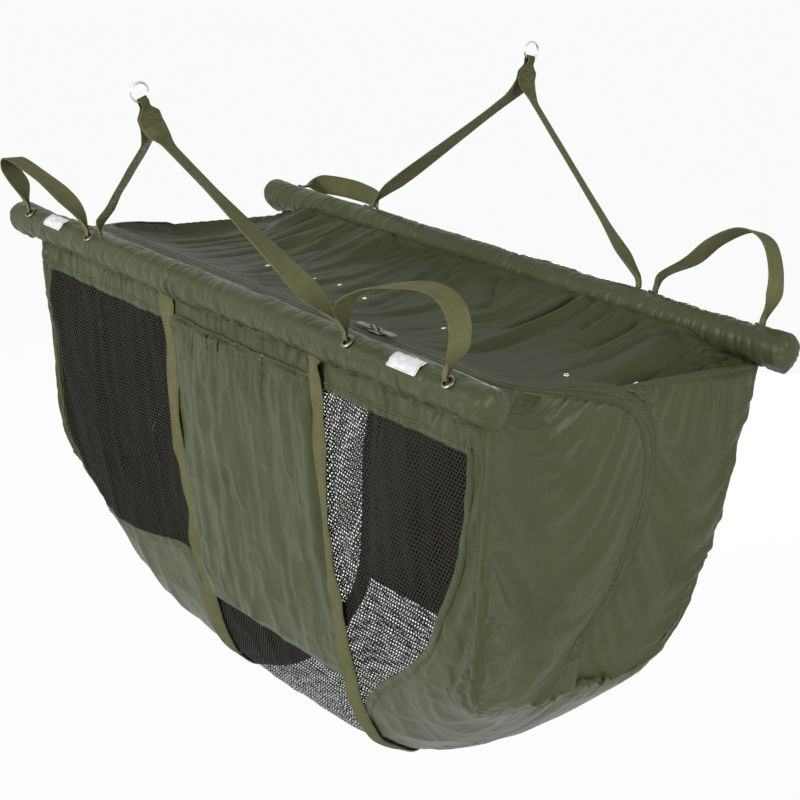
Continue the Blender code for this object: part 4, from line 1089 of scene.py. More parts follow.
class SLING_OT_stage(Operator):
    """Set up the pale floor, the soft lamps and the camera"""
    bl_idname = "sling.stage"
    bl_label = "Stage"

    def execute(self, context):
        stage = context.scene.sling_stage
        floor_z = WALL_TOP - END_DEPTH - BELLY_DROP - RISE - stage.floor_drop
        mesh = bpy.data.meshes.new("floor")
        reach = 30.0
        corners = [(x * reach, y * reach, floor_z) for x, y in ((-1, -1), (1, -1), (1, 1), (-1, 1))]
        mesh.from_pydata(corners, [], [(0, 1, 2, 3)])
        floor = bpy.data.objects.new("floor", mesh)
        context.scene.collection.objects.link(floor)
        mesh.materials.append(self.floor_material())
        self.world(stage)
        self.lamp("key_lamp", (-0.3, -2.3, 0.55), (0.0, 0.0, -0.35), 0.8, stage.key_light)
        self.lamp("fill_lamp", (2.3, -0.2, 0.35), (0.2, 0.0, -0.40), 0.7, stage.fill_light)
        self.lamp("back_lamp", (-1.6, 1.9, -0.50), (0.0, 0.0, -0.40), 0.8, stage.back_light)
        self.camera(stage)
        context.scene.view_settings.view_transform = "Standard"
        return {"FINISHED"}

    @staticmethod
    def seen_directly(holder):
        """One where a ray comes from the camera, a reflection or through glass, and nought elsewhere."""
        rays = add_node(holder, "ShaderNodeLightPath").outputs
        found = rays["Is Camera Ray"]
        for kind in ("Is Glossy Ray", "Is Transmission Ray"):
            found = add_node(holder, "ShaderNodeMath", {"operation": "MAXIMUM"},
                             [(0, found), (1, rays[kind])]).outputs["Value"]
        return found

    def floor_material(self):
        """Pale painted board, rolled: even and matt. Most of its white is its own, so the shadow is faint."""
        surface = Surface("floor_board_painted", 0.9, Base_Color=linear("#f2f2f2"))
        glow = surface.node("ShaderNodeEmission", {"Color": WHITE, "Strength": 1.0})
        seen = surface.node("ShaderNodeMath", {"operation": "MULTIPLY", 1: FLOOR_GLOW},
                            [(0, self.seen_directly(surface.made))]).outputs["Value"]
        mix = surface.node("ShaderNodeMixShader", {}, [(0, seen), (1, surface.shader.outputs["BSDF"]),
                                                       (2, glow.outputs["Emission"])])
        output = surface.made.node_tree.nodes["Material Output"]
        surface.made.node_tree.links.new(mix.outputs["Shader"], output.inputs["Surface"])
        return surface.made

    def world(self, stage):
        world = bpy.data.worlds.new("studio")
        world.use_nodes = True
        bpy.context.scene.world = world
        background = world.node_tree.nodes["Background"]
        background.inputs["Color"].default_value = WHITE
        strength = add_node(world, "ShaderNodeMapRange", {"To Min": stage.world_light, "To Max": 1.0},
                            [("Value", self.seen_directly(world))])
        world.node_tree.links.new(strength.outputs["Result"], background.inputs["Strength"])

    @staticmethod
    def lamp(name, place, target, size, power):
        data = bpy.data.lights.new(name, "AREA")
        data.shape = "DISK"
        data.size = size
        data.energy = power
        lamp = bpy.data.objects.new(name, data)
        bpy.context.scene.collection.objects.link(lamp)
        lamp.location = place
        lamp.rotation_euler = (Vector(target) - Vector(place)).to_track_quat("-Z", "Y").to_euler()

    @staticmethod
    def camera(stage):
        """The photograph's view."""
        heading, pitch, roll = (math.radians(turn) for turn in CAMERA_TURNS)
        level = math.cos(pitch)
        back = Vector((math.sin(heading) * level, -math.cos(heading) * level, math.sin(pitch)))
        right = (-back).cross(Vector((0, 0, 1))).normalized()
        up = right.cross(-back)
        cos, sin = math.cos(roll), math.sin(roll)
        right, up = right * cos + up * sin, up * cos - right * sin
        data = bpy.data.cameras.new("camera")
        data.lens = stage.lens
        data.sensor_width = 36.0
        data.clip_end = 200.0
        camera = bpy.data.objects.new("camera", data)
        bpy.context.scene.collection.objects.link(camera)
        turn = Matrix((right, up, back)).transposed().to_4x4()
        camera.matrix_world = Matrix.Translation(Vector(CAMERA_PLACE) - Vector((0, 0, RISE))) @ turn
        bpy.context.scene.camera = camera


class SLING_OT_floats(Operator):
    """Cover the two foam rods with gathered sleeves that close in pleated ends"""
    bl_idname = "sling.floats"
    bl_label = "Floats"

    def execute(self, context):
        depth = context.scene.sling_sizes.gather_depth
        for side, name in SIDES.items():
            points = self.sleeve(side, depth)
            piece = grid_piece(f"float_cover_{name}", points, "cloth", BODIES[side], f"sleeve_{name}",
                               (f"sleeve_{name}", f"cap_{name}_left", f"cap_{name}_right"), closed=True)
            for material_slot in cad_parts[f"foam_{name}"].material_slots:
                material_slot.material = look("foam")
        return {"FINISHED"}

    @staticmethod
    def sleeve(side, depth):
        """Sections along the float: gathers, flat places for labels, the seam below and the closed ends."""
        cap, steps = 0.010, 900
        run = HALF_LENGTH - cap
        turn = np.linspace(0, 1, 16)[1:]
        ends = run + (cap - 0.0006) * np.sin(turn * math.pi / 2)
        x = np.concatenate([-ends[::-1], np.linspace(-run, run, steps), ends])
        close = np.concatenate([turn[::-1], np.zeros(steps), turn])[:, None]
        angle = np.linspace(0, 2 * math.pi, 96, endpoint=False)
        xx, around = np.meshgrid(x, angle, indexing="ij")
        round_way = around * SLEEVE
        slant = xx + 0.75 * noise(xx / 0.13, 0.3, 7 + side) * round_way
        under = np.exp(-((np.abs(around - math.pi) / 0.85) ** 2))
        swell = 0.55 + 0.45 * under
        seam_side = np.exp(-(((around - 1.30 * math.pi) / 0.55) ** 2))
        height = (0.75 * depth * swell * pleats(slant, round_way, 0.0110, 11 + side)
                  + 0.7 * depth * under * pleats(xx, round_way, 0.0070, 12 + side)
                  + 0.5 * depth * noise(xx / 0.055, round_way / 0.05, 13 + side)
                  + 0.9 * depth * seam_side * (pleats(xx, round_way, 0.0125, 15 + side) - 0.3))
        if side < 0:
            spread = np.abs(around - 2 * math.pi + math.radians(LABEL_MIDDLE))
            for end in ENDS:
                label_x = end * LABEL_SHARE * HALF_LENGTH
                over = smooth(LABEL_LENGTH / 2 + 0.010, LABEL_LENGTH / 2, np.abs(xx - label_x))
                over = over * smooth(0.9, 0.6, np.minimum(spread, 2 * math.pi - spread))
                height = height * (1 - over) - 0.0003 * over
        radius = SLEEVE - 0.0002 + np.clip(height, -0.0014, 0.0032)
        radius = radius + 0.0034 * np.exp(-((np.abs(around - math.pi) / 0.24) ** 2))
        radius = radius * np.cos(close * math.pi / 2 * 0.90) ** 0.75
        folds = np.cos(11 * around + 2.0 * np.sin(3 * around))
        radius = radius * (1 + 0.05 * smooth(0.15, 0.6, close) * folds)
        return np.stack([xx, side * HALF_SPACING + radius * np.sin(around), radius * np.cos(around)], axis=-1)


class SLING_OT_walls(Operator):
    """Sew the front and back walls: bands, net, borders, middle panels and bound edges"""
    bl_idname = "sling.walls"
    bl_label = "Walls"

    def execute(self, context):
        sizes = context.scene.sling_sizes
        rows = {-1: [], 1: []}
        for side in SIDES:
            SHEETS[side] = wall_sheet(side)
        for side, name in SIDES.items():
            self.band(side, name, rows)
            self.panel(side, name)
        self.net(sizes)
        for end, name in ENDS.items():
            self.border(end, name)
            self.bound_edge(end, name, rows)
        for side, name in SIDES.items():
            self.band_binding(side, name, rows)
            sew(f"wall_stitches_{name}", rows[side], BODIES[side], f"top_band_{name}", sizes.stitch_spacing)
        return {"FINISHED"}

    @staticmethod
    def band(side, name, rows):
        """The cloth between the sleeve and the net, turned up into the sleeve's seam."""
        a, b = shares(640, 26)
        points = SHEETS[side].at(a, (BAND_SHARE + 0.004) * b, CLOTH_OUT)
        points[..., 2] += 0.0012 * (1 - b) ** 3
        piece = grid_piece(f"band_{name}", points, "cloth", BODIES[side], *own(f"top_band_{name}"))
        cloth_sheet(piece, 0.030, 2 * WALL_HALF, f"sleeve_{name}")
        along = np.linspace(0.004, 0.996, 700)
        for down in (0.0075, 0.0125):
            rows[side].append((SHEETS[side].at(along, down, 0.0008), SHEETS[side].normal(along, down)))

    @staticmethod
    def panel(side, name):
        """The plain panel over the middle of the net, crinkled at the top and folded below."""
        a, b = shares(210, 250)
        top_share = 0.8 * BAND_SHARE
        share = top_share + (PANEL_FOOT_SHARE - top_share) * b
        x_share = values_at(STRAP_MIDDLES[side], share) + (2 * a - 1) * STRAP_HALF_SHARE
        x, down = x_share * HALF_LENGTH, b * 0.35
        slope = smooth(0, 0.07, a) * smooth(1, 0.93, a) * smooth(0, 0.02, b) * smooth(1, 0.96, b)
        top = np.exp(-down / 0.030)
        warp = 0.014 * noise(x / 0.07, down / 0.12, 101 + side)
        folds = (0.0030 * noise((x + warp) / 0.075, down / 0.30, 102 + side) * smooth(0.01, 0.10, down)
                 + 0.0011 * noise((x + warp - 0.15 * down) / 0.030, down / 0.15, 103 + side)
                 + 0.0020 * top * pleats(x, down, 0.0070, 105 + side)
                 + 0.0024 * crinkle((x + warp) / 0.050, down / 0.085, 107 + side))
        points = wall_at(side, x_share, share, 0.0022 + slope * (folds + 0.0052))
        piece = grid_piece(f"middle_panel_{name}", points, "cloth", BODIES[side],
                           *own(f"centre_panel_{name}"))
        cloth_sheet(piece, 2 * STRAP_HALF_SHARE * HALF_LENGTH, 0.36, f"top_band_{name}")

    @staticmethod
    def net(sizes):
        """Hexagonal cells of knitted thread over both walls, left out behind the middle panels."""
        pitch, thread = sizes.net_pitch, sizes.net_thread
        depth = WALL_RUN
        row_step = pitch * math.sqrt(3) / 2
        n_rows = int(2 * depth / row_step)
        n_cols = int(2 * HALF_LENGTH / pitch)
        r, c = np.meshgrid(np.arange(n_rows), np.arange(n_cols), indexing="ij")
        x = (c - n_cols / 2 + 0.5 * (r % 2)) * pitch
        down = (r + 0.5) * row_step
        share = np.clip(np.where(down < depth, down, 2 * depth - down) / depth, 0, 1)
        x_share = x / HALF_LENGTH
        keep = share > BAND_SHARE - 0.004
        for side in SIDES:
            elsewhere = (down < depth) != (side < 0)
            right = values_at(NET_EDGES[(side, 1)], np.clip(above_fold(share), 0, 1))
            inside = right_of_left_edge(side, x_share, share) & (x_share < right + NET_SEWN_IN)
            middle = values_at(STRAP_MIDDLES[side], share)
            behind = (np.abs(x_share - middle) < STRAP_HALF_SHARE - 0.004) & (share < PANEL_FOOT_SHARE - 0.01)
            keep = keep & (elsewhere | (inside & ~behind))
        x, down = x[keep], down[keep]
        corner = np.radians(30 + 60 * np.arange(6))
        outer = pitch / math.sqrt(3)
        inner = (pitch - thread) / math.sqrt(3)
        key_x = x[:, None] + outer * np.cos(corner)
        key_y = down[:, None] + outer * np.sin(corner)
        keys = np.round(np.stack([key_x, key_y], axis=-1).reshape(-1, 2) / (pitch / 12)).astype(np.int64)
        _, first, index = np.unique(keys, axis=0, return_index=True, return_inverse=True)
        index = index.reshape(-1, 6)
        flat_x = np.concatenate([key_x.ravel()[first], (x[:, None] + inner * np.cos(corner)).ravel()])
        flat_y = np.concatenate([key_y.ravel()[first], (down[:, None] + inner * np.sin(corner)).ravel()])
        hole = len(first) + np.arange(6 * len(x)).reshape(-1, 6)
        faces = np.stack([index, np.roll(index, -1, axis=1), np.roll(hole, -1, axis=1), hole], axis=-1)
        wander, inset = 0.0004, 0.0015
        place_x, place_y = (flat + wander * noise(flat_x / 0.006, flat_y / 0.006, seed)
                            for flat, seed in ((flat_x, 111), (flat_y, 112)))
        points = np.empty((len(flat_x), 3))
        for side in SIDES:
            here = (place_y < depth) == (side < 0)
            distance = np.clip(np.where(place_y < depth, place_y, 2 * depth - place_y)[here] / depth, 0, 1)
            left, right = seam_x(side, -1, distance), seam_x(side, 1, distance)
            across = np.clip(place_x[here], inset - left, right - inset)
            points[here] = wall_at(side, across / HALF_LENGTH, distance, 0.0003)
        quads = faces.reshape(-1, 4)
        uv = np.stack([flat_x, flat_y], axis=-1)[quads]
        piece = place_piece("net", new_mesh("net", points, [quads], [uv]), "net", None, "net_front",
                            ("net_front", "net_back"))
        blend_halves(piece)

    @staticmethod
    def border(end, name):
        """Plain cloth from the end seam to the net, running under the bag from front to back."""
        def reader(side, b):
            edge, share, seam_share = net_path(side, end, b)
            low = u_of(side, edge, share)
            a = np.linspace(0, 1, 70)[None]
            u = low[:, None] + (end - low[:, None]) * a
            down = share[:, None] + (seam_share - share)[:, None] * a
            return [SHEETS[side].at((u + 1) / 2, down, CLOTH_OUT)]

        piece = grid_piece(f"border_{name}", under_bag(reader, 210)[0], "cloth", None, f"border_front_{name}",
                           (f"border_front_{name}", f"border_back_{name}"))
        blend_halves(piece)
        cloth_sheet(piece, 0.20, 0.95, "sleeve_front", "sleeve_back")

    @staticmethod
    def bound_edge(end, name, rows):
        """The folded tape that binds the net's curved edge, with its row of stitches."""
        def reader(side, b):
            edge, share, _ = net_path(side, end, b)
            return [wall_at(side, edge, share), wall_normal(side, edge, share)]

        places, normals = without_repeats(*under_bag(reader, 400))
        ripple = 0.0007 * noise(np.arange(len(places)) / 6.0, 0.5, 121)
        strip = strip_on(places + normals * ripple[:, None], normals,
                         [-0.0052, -0.0048, -0.0035, 0.0, 0.0035, 0.0046, 0.0050],
                         [-0.0004, 0.0013, 0.0016, 0.0015, 0.0017, 0.0014, -0.0004])
        blend_halves(grid_piece(f"net_binding_{name}", strip, "cloth", None, f"border_front_{name}"))
        inset = 0.0027
        for side in SIDES:
            edge, share, _ = net_path(side, end, np.linspace(0, 0.98, 300))
            way = unit(np.stack([np.gradient(edge) * HALF_LENGTH, np.gradient(share) * WALL_RUN], axis=-1))
            edge = edge + end * way[:, 1] * inset / HALF_LENGTH
            share = np.clip(share - end * way[:, 0] * inset / WALL_RUN, 0, 1)
            rows[side].append((wall_at(side, edge, share, 0.0018), wall_normal(side, edge, share)))

    @staticmethod
    def band_binding(side, name, rows):
        """The same tape along the net's top edge."""
        for end, end_name in ENDS.items():
            edge = net_path(side, end, np.array([0.0]))[0][0]
            middle = values_at(STRAP_MIDDLES[side], np.array([BAND_SHARE]))[0] + end * STRAP_HALF_SHARE
            x_share = np.linspace(middle, edge, 260)
            strip = strip_on(wall_at(side, x_share, BAND_SHARE), wall_normal(side, x_share, BAND_SHARE),
                             [-0.0048, -0.0044, -0.0030, 0.0, 0.0030, 0.0044, 0.0048],
                             [-0.0004, 0.0012, 0.0015, 0.0013, 0.0015, 0.0012, -0.0004])
            grid_piece(f"top_binding_{name}_{end_name}", strip, "cloth", BODIES[side], f"top_band_{name}")
            share = BAND_SHARE - 0.004
            rows[side].append((wall_at(side, x_share, share, 0.0017), wall_normal(side, x_share, share)))


def blend_halves(piece):
    """Bakes the placing of a piece that passes under the bag into its points."""
    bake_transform(piece)


class SLING_OT_ends(Operator):
    """Sew the four end panels, their puckered corner seams and the lid"""
    bl_idname = "sling.ends"
    bl_label = "Ends and lid"

    def execute(self, context):
        sizes = context.scene.sling_sizes
        rows = {-1: [], 1: []}
        for side, side_name in SIDES.items():
            for end, end_name in ENDS.items():
                SHEETS[("end", side, end)] = sheet = end_sheet(side, end)
                piece = grid_piece(f"end_panel_{side_name}_{end_name}", sheet.moved(CLOTH_OUT).grid, "cloth",
                                   BODIES[side], *own(f"end_{side_name}_{end_name}"))
                cloth_sheet(piece, 0.21, 0.34, f"sleeve_{side_name}")
                self.corner_seam(side, end, rows)
        # The lid is drawn in the darker, less glossy copy of the cloth, which paints its shade.
        for side, node, kind, depth, sheet in ((1, "lid", "lid_shaded_cloth", 0.30, lid_sheet()),
                                               (-1, "lid_strip", "cloth", 0.05, strip_sheet())):
            SHEETS[("lid", side)] = sheet
            piece = grid_piece(f"{node}_panel", sheet.moved(CLOTH_OUT).grid, kind, BODIES[side], *own(node))
            cloth_sheet(piece, depth, 0.80, f"sleeve_{SIDES[side]}")
        for side, name in SIDES.items():
            sew(f"seam_stitches_{name}", rows[side], BODIES[side], f"end_{name}_right", sizes.stitch_spacing)
        for side in SIDES:
            for end in ENDS:
                self.crease_seam(side, end)
        self.drains(sizes)
        return {"FINISHED"}

    @staticmethod
    def crease_seam(side, end):
        """The flat seam where the lid turns down into an end, with its tape lying over both cloths."""
        share = np.linspace(0, 1, 90)
        lid, panel = SHEETS[("lid", side)], SHEETS[("end", side, end)]
        b = LID_CREASE + (1 - LID_CREASE) * share if side > 0 else 1 - share
        edge = 1.0 if end > 0 else 0.0
        columns = [lid.at(edge - end * inset, b, out)
                   for inset, out in ((0.0050, 0.0004), (0.0045, 0.0013), (0.0, 0.0014))]
        columns += [panel.at(1 - share, inset, out)
                    for inset, out in ((0.0, 0.0014), (0.0100, 0.0013), (0.0110, 0.0004))]
        grid_piece(f"crease_seam_{SIDES[side]}_{ENDS[end]}", np.stack(columns, axis=1), "cloth", BODIES[side],
                   f"end_{SIDES[side]}_{ENDS[end]}")

    @staticmethod
    def corner_seam(side, end, rows):
        """The folded ridge where a wall is sewn to an end, pulled in by its thread."""
        b = np.linspace(0.0, 0.985, 420)
        sheet = SHEETS[side]
        a = 1.0 if end > 0 else 0.0
        places = sheet.at(a, b)
        out = unit(sheet.normal(a, b) + np.array([end, 0.0, 0.0]))
        down = run_along(places)
        pulled = 0.0008 * noise(down / 0.009, 0.0, 131 + end) + 0.0008 * noise(down / 0.026, 0.5, 133 + end)
        places = places + out * pulled[:, None]
        strip = strip_on(places, out, [-0.0036, -0.0024, -0.0010, 0.0, 0.0010, 0.0024, 0.0036],
                         [-0.0016, 0.0004, 0.0013, 0.0016, 0.0013, 0.0004, -0.0016])
        grid_piece(f"corner_seam_{SIDES[side]}_{ENDS[end]}", strip, "cloth", BODIES[side],
                   f"end_{SIDES[side]}_{ENDS[end]}")
        beside = a - 0.010 * end
        rows[side].append((sheet.at(beside, b, 0.0009), sheet.normal(beside, b)))

    @staticmethod
    def drains(sizes):
        """Small plated eyelets in an uneven row along the lid."""
        outer, lip = sizes.drain_diameter / 2, 0.0008
        bore = outer * 0.52
        profile = [(bore, -0.0006), (bore * 1.05, lip * 0.6), (bore * 1.25, lip), (outer * 0.86, lip * 0.8),
                   (outer, lip * 0.2), (outer, -0.0002)]
        lid = SHEETS[("lid", 1)]
        grid = lid.grid.reshape(-1, 3)
        a, b = shares(lid.cols, lid.rows)
        places, axes = [], []
        for x, y in DRAINS:
            nearest = int(np.argmin((grid[:, 0] - x) ** 2 + (grid[:, 1] - y) ** 2))
            at = (a.reshape(-1)[nearest], b.reshape(-1)[nearest])
            places.append(lid.at(*at, 0.0008))
            axes.append(lid.normal(*at))
        points, faces = ring_set(profile, places, axes, 20)
        place_piece("drain_eyelets_lid", new_mesh("drains", points, [faces]), "steel", "back_half",
                    "eyelet_back_right_inner")


class SLING_OT_zip(Operator):
    """Run the zip over the lid and down both ends, with its coil, hems, sliders and pulls"""
    bl_idname = "sling.zip"
    bl_label = "Zip"

    def execute(self, context):
        sizes = context.scene.sling_sizes
        place, lean, front = whole_zip(26)
        place, lean, front = even_walk(place, 0.0020, lean, front)
        lean, front = unit(lean), unit(front)
        for side, name in SIDES.items():
            way = -front * side
            wave = 0.0004 * noise(np.arange(len(place)) / 7.0, 0.0, 141 + side)
            across = np.array([0.0002, 0.0012, 0.0027, 0.0031, 0.0036, 0.0041, 0.0060, 0.0082, 0.0105])
            up = np.array([0.0010, 0.0010, 0.0010, 0.0015, 0.0017, 0.0013, 0.0010, 0.0006, -0.0010])
            points = (place[:, None] + way[:, None] * across[None, :, None]
                      + lean[:, None] * (up[None, :, None] + wave[:, None, None]))
            grid_piece(f"zip_cloth_{name}", points, "zip_tape", BODIES[side], *own(f"zip_tape_{name}"))
            hem_across = np.array([0.0052, 0.0055, 0.0066, 0.0080, 0.0094, 0.0101])
            hem_up = np.array([0.0007, 0.0015, 0.0017, 0.0015, 0.0012, -0.0002])
            ripple = 0.0005 * noise(np.arange(len(place)) / 5.0, 0.0, 151 + side)
            hem = (place[:, None] + way[:, None] * (hem_across[None, :, None] + ripple[:, None, None])
                   + lean[:, None] * hem_up[None, :, None])
            grid_piece(f"zip_hem_{name}", hem, "cloth", BODIES[side], f"zip_tape_{name}")
            row = place + way * 0.0078 + lean * 0.0017
            sew(f"zip_stitches_{name}", [(row, lean)], BODIES[side], f"zip_tape_{name}", sizes.stitch_spacing)
            self.coil(side, name, place, lean, way)
        for end, name in ENDS.items():
            self.slider(end, name)
            self.foot_tab(end, name)
        return {"FINISHED"}

    @staticmethod
    def foot_tab(end, name):
        """The cloth tab sewn over the zip's foot and turned under the bag, where the two ends meet."""
        places, leans, _ = zip_frame(end, np.linspace(TURN_STEPS - 1.1, TURN_STEPS, 9))
        corner, *under = bare_wall(1, end * np.array([1.0, 0.992, 0.980, 0.965]), 1.0)
        low = np.array([end * 0.5, 0.0, -0.87])
        path = np.concatenate([places, line(places[-1], corner, 5)[1:], under])
        outs = np.concatenate([leans, line(leans[-1], low, 5)[1:], np.tile([0.0, 0.0, -1.0], (3, 1))])
        path, outs = even_walk(path, 0.0012, outs)
        outs = unit(outs)
        count = len(path)
        height = np.full(count, 0.0026)
        height[0] = 0.0012
        across = np.array([-0.0135, -0.0132, -0.0120, -0.0060, 0.0, 0.0060, 0.0120, 0.0132, 0.0135])
        drop = np.array([-0.0024, -0.0008, 0.0, 0.0, 0.0003, 0.0, 0.0, -0.0008, -0.0024])
        wave = 0.0005 * noise(np.arange(count)[:, None] / 6.0, across[None] / 0.008, 231 + end)
        rise = height[:, None] + drop[None] + wave
        points = path[:, None] + outs[:, None] * rise[..., None]
        points[..., 1] += across
        grid_piece(f"zip_foot_{name}", points, "cloth", "back_half", f"end_back_{name}")

    @staticmethod
    def coil(side, name, place, lean, way):
        """Rounded coil teeth, one every 1.5 mm, half a step apart on the two tapes."""
        spacing = 0.0015
        centre, up, out = even_walk(place, spacing, lean, way)
        along = unit(np.gradient(centre, axis=0))
        centre = centre + along * (spacing / 2 if side > 0 else 0.0)
        half, foot = spacing * 0.36, 0.0009
        teeth = np.stack([np.stack([centre + out * across + along * (half * reach) + up * high
                                    for reach, high in ((-1, foot), (-0.7, top), (0.7, top), (1, foot))],
                                   axis=1)
                          for across, top in ((0.0, 0.0009), (0.0002, 0.0016), (0.0011, 0.0020),
                                              (0.0022, 0.0019), (0.0029, 0.0011))], axis=1)
        count, rings, around, _ = teeth.shape
        last = rings * around - 1
        faces = np.concatenate([grid_faces(rings, around, True)[0],
                                [[0, 1, 2, 3], [last, last - 1, last - 2, last - 3]]])
        every = (faces[None] + (np.arange(count) * rings * around)[:, None, None]).reshape(-1, 4)
        place_piece(f"coil_{name}", new_mesh("coil", teeth.reshape(-1, 3), [every]), "coil", BODIES[side],
                    f"zip_tape_{name}")

    def slider(self, end, name):
        """A cast slider with its bridge, and a pull with a rounded end that hangs on it."""
        x = SLIDERS_SHARE * HALF_LENGTH + end * (0.011 / 2 + GAP)
        y = zip_half(1)[0][0][1]
        base = LID_LEVEL + 0.0014
        top = base + 0.0028
        share = np.linspace(0, 1, 23)
        half_width = 0.0032 + 0.0016 * smooth(0.0, 0.5, 1 - share) - 0.0012 * smooth(0.8, 1.0, share)
        half_width = half_width - 0.0014 * smooth(0.12, 0.0, share)
        length = np.concatenate([share, share[::-1]])
        width = np.concatenate([half_width, -half_width[::-1]])
        layers = ((base, 0.90), (base + 0.0004, 1.0), (top - 0.0006, 1.0), (top - 0.0002, 0.95), (top, 0.86))
        rings = [np.stack([x + end * (length - 0.5) * 0.0116 * scale, y + width * scale,
                           np.full(len(length), z)], axis=1) for z, scale in layers]
        # The slider is drawn in the darker steel, as painted shade.
        grid_piece(f"slider_body_{name}", np.array(rings), "shaded_steel", f"slider_{name}",
                   *own(f"slider_{name}"), closed=True)
        steps = 13
        turn = np.linspace(0, math.pi, steps)
        arch = np.stack([x - np.cos(turn) * 0.0027, np.full(steps, y), top - 0.0004 + np.sin(turn) * 0.0042],
                        axis=1)
        across = np.tile([0.0, 1.0, 0.0], (steps, 1))
        grid_piece(f"slider_bridge_{name}", ribbon_points(arch, across, 0.0030, 0.0012), "shaded_steel",
                   f"slider_{name}", f"slider_{name}", closed=True)
        self.pull(end, name, np.array([x, y, top + 0.0013]))

    @staticmethod
    def pull(end, name, axle):
        """Outline and hole of the pull as matching loops, joined by quads on both faces."""
        count = 48
        angle = 2 * math.pi * np.arange(count) / count
        length, width, thick, bevel = 0.0250, 0.0080, 0.0012, 0.0004
        hole_length, hole_width, rim = 0.0045, 0.0044, 0.0008

        def rounded(side, power):
            return np.sign(side) * np.abs(side) ** power

        cos, sin = np.cos(angle), np.sin(angle)
        outer_x = length / 2 - rim + length / 2 * rounded(cos, 0.45)
        taper = 1.0 - 0.22 * smooth(0.010, 0.0, outer_x) - 0.10 * smooth(0.018, 0.026, outer_x)
        outer = outer_x, width / 2 * rounded(sin, 0.45) * taper
        hole = rim + hole_length / 2 * (1 + rounded(cos, 0.6)), hole_width / 2 * rounded(sin, 0.6)
        loops = []
        for (xs, ys), z, inset in ((hole, -thick / 2, 0), (outer, -thick / 2, bevel), (outer, -thick / 4, 0),
                                   (outer, thick / 4, 0), (outer, thick / 2, bevel), (hole, thick / 2, 0)):
            shorter, narrower = 1 - inset / (length / 2), 1 - inset / (width / 2)
            loops.append(np.stack([axle[0] + end * (xs.mean() + (xs - xs.mean()) * shorter),
                                   axle[1] + ys * narrower, np.full(count, axle[2] + z)], axis=1))
        faces = grid_faces(len(loops) + 1, count, True)[0] % (len(loops) * count)
        flat = np.concatenate(loops)
        if inside_out(flat, faces, axle):
            faces = faces[:, ::-1]
        # The pull is drawn in the darker steel, as painted shade.
        place_piece(f"zip_pull_{name}", new_mesh("pull", flat, [faces]), "shaded_steel", f"pull_{name}",
                    *own(f"pull_{name}"))


class SLING_OT_straps(Operator):
    """Lay the two straps over the walls and under the bag"""
    bl_idname = "sling.straps"
    bl_label = "Straps"

    def execute(self, context):
        for end, name in ENDS.items():
            def reader(side, share, end=end):
                centre = values_at(STRAP_MIDDLES[side], share) + end * STRAP_HALF_SHARE
                return [wall_at(side, centre, share, 0.0032), wall_normal(side, centre, share)]

            step = 0.003
            places, normals = without_repeats(*under_bag(reader, 330))
            places, normals = (eased(values, 6) for values in even_walk(places, step, normals))
            down = np.arange(len(places)) * step
            normals = unit(normals)
            across = unit(np.cross(unit(np.gradient(places, axis=0)), normals))
            sway = 0.0011 * noise(down / 0.045, 0.3, 161 + end)
            lift = 0.0005 + 0.0007 * noise(down / 0.028, 0.7, 171 + end)
            places = places + across * sway[:, None] + normals * lift[:, None]
            tilt = 0.10 * noise(down / 0.05, 0.9, 181 + end)
            width = WEBBING_WIDTH * (1 + 0.025 * noise(down / 0.02, 0.1, 191 + end))
            points = ribbon_points(places, across, width, WEBBING_THICKNESS, tilt)
            blend_halves(grid_piece(f"strap_{name}", points, "webbing", None, f"strap_front_{name}",
                                    (f"strap_front_{name}", f"strap_back_{name}"), closed=True))
            for side, side_name in SIDES.items():
                rows = []
                for edge in (-1, 1):
                    row = places + across * (edge * 0.0105) + normals * 0.0011
                    here = side * (row[:, 1] - FOLD_Y) > 0.004
                    rows.append((row[here], normals[here]))
                sew(f"strap_stitches_{side_name}_{name}", rows, BODIES[side], f"strap_{side_name}_{name}",
                    0.0036)
        return {"FINISHED"}


def webbing_size(height):
    """Width and thickness of the webbing at a height over its pivot line."""
    width = 0.0020 + (WEBBING_WIDTH - 0.0020) * smooth(0.004, 0.034, height)
    thick = 0.0070 + (WEBBING_THICKNESS - 0.0070) * smooth(0.004, 0.0272, height)
    return width, thick


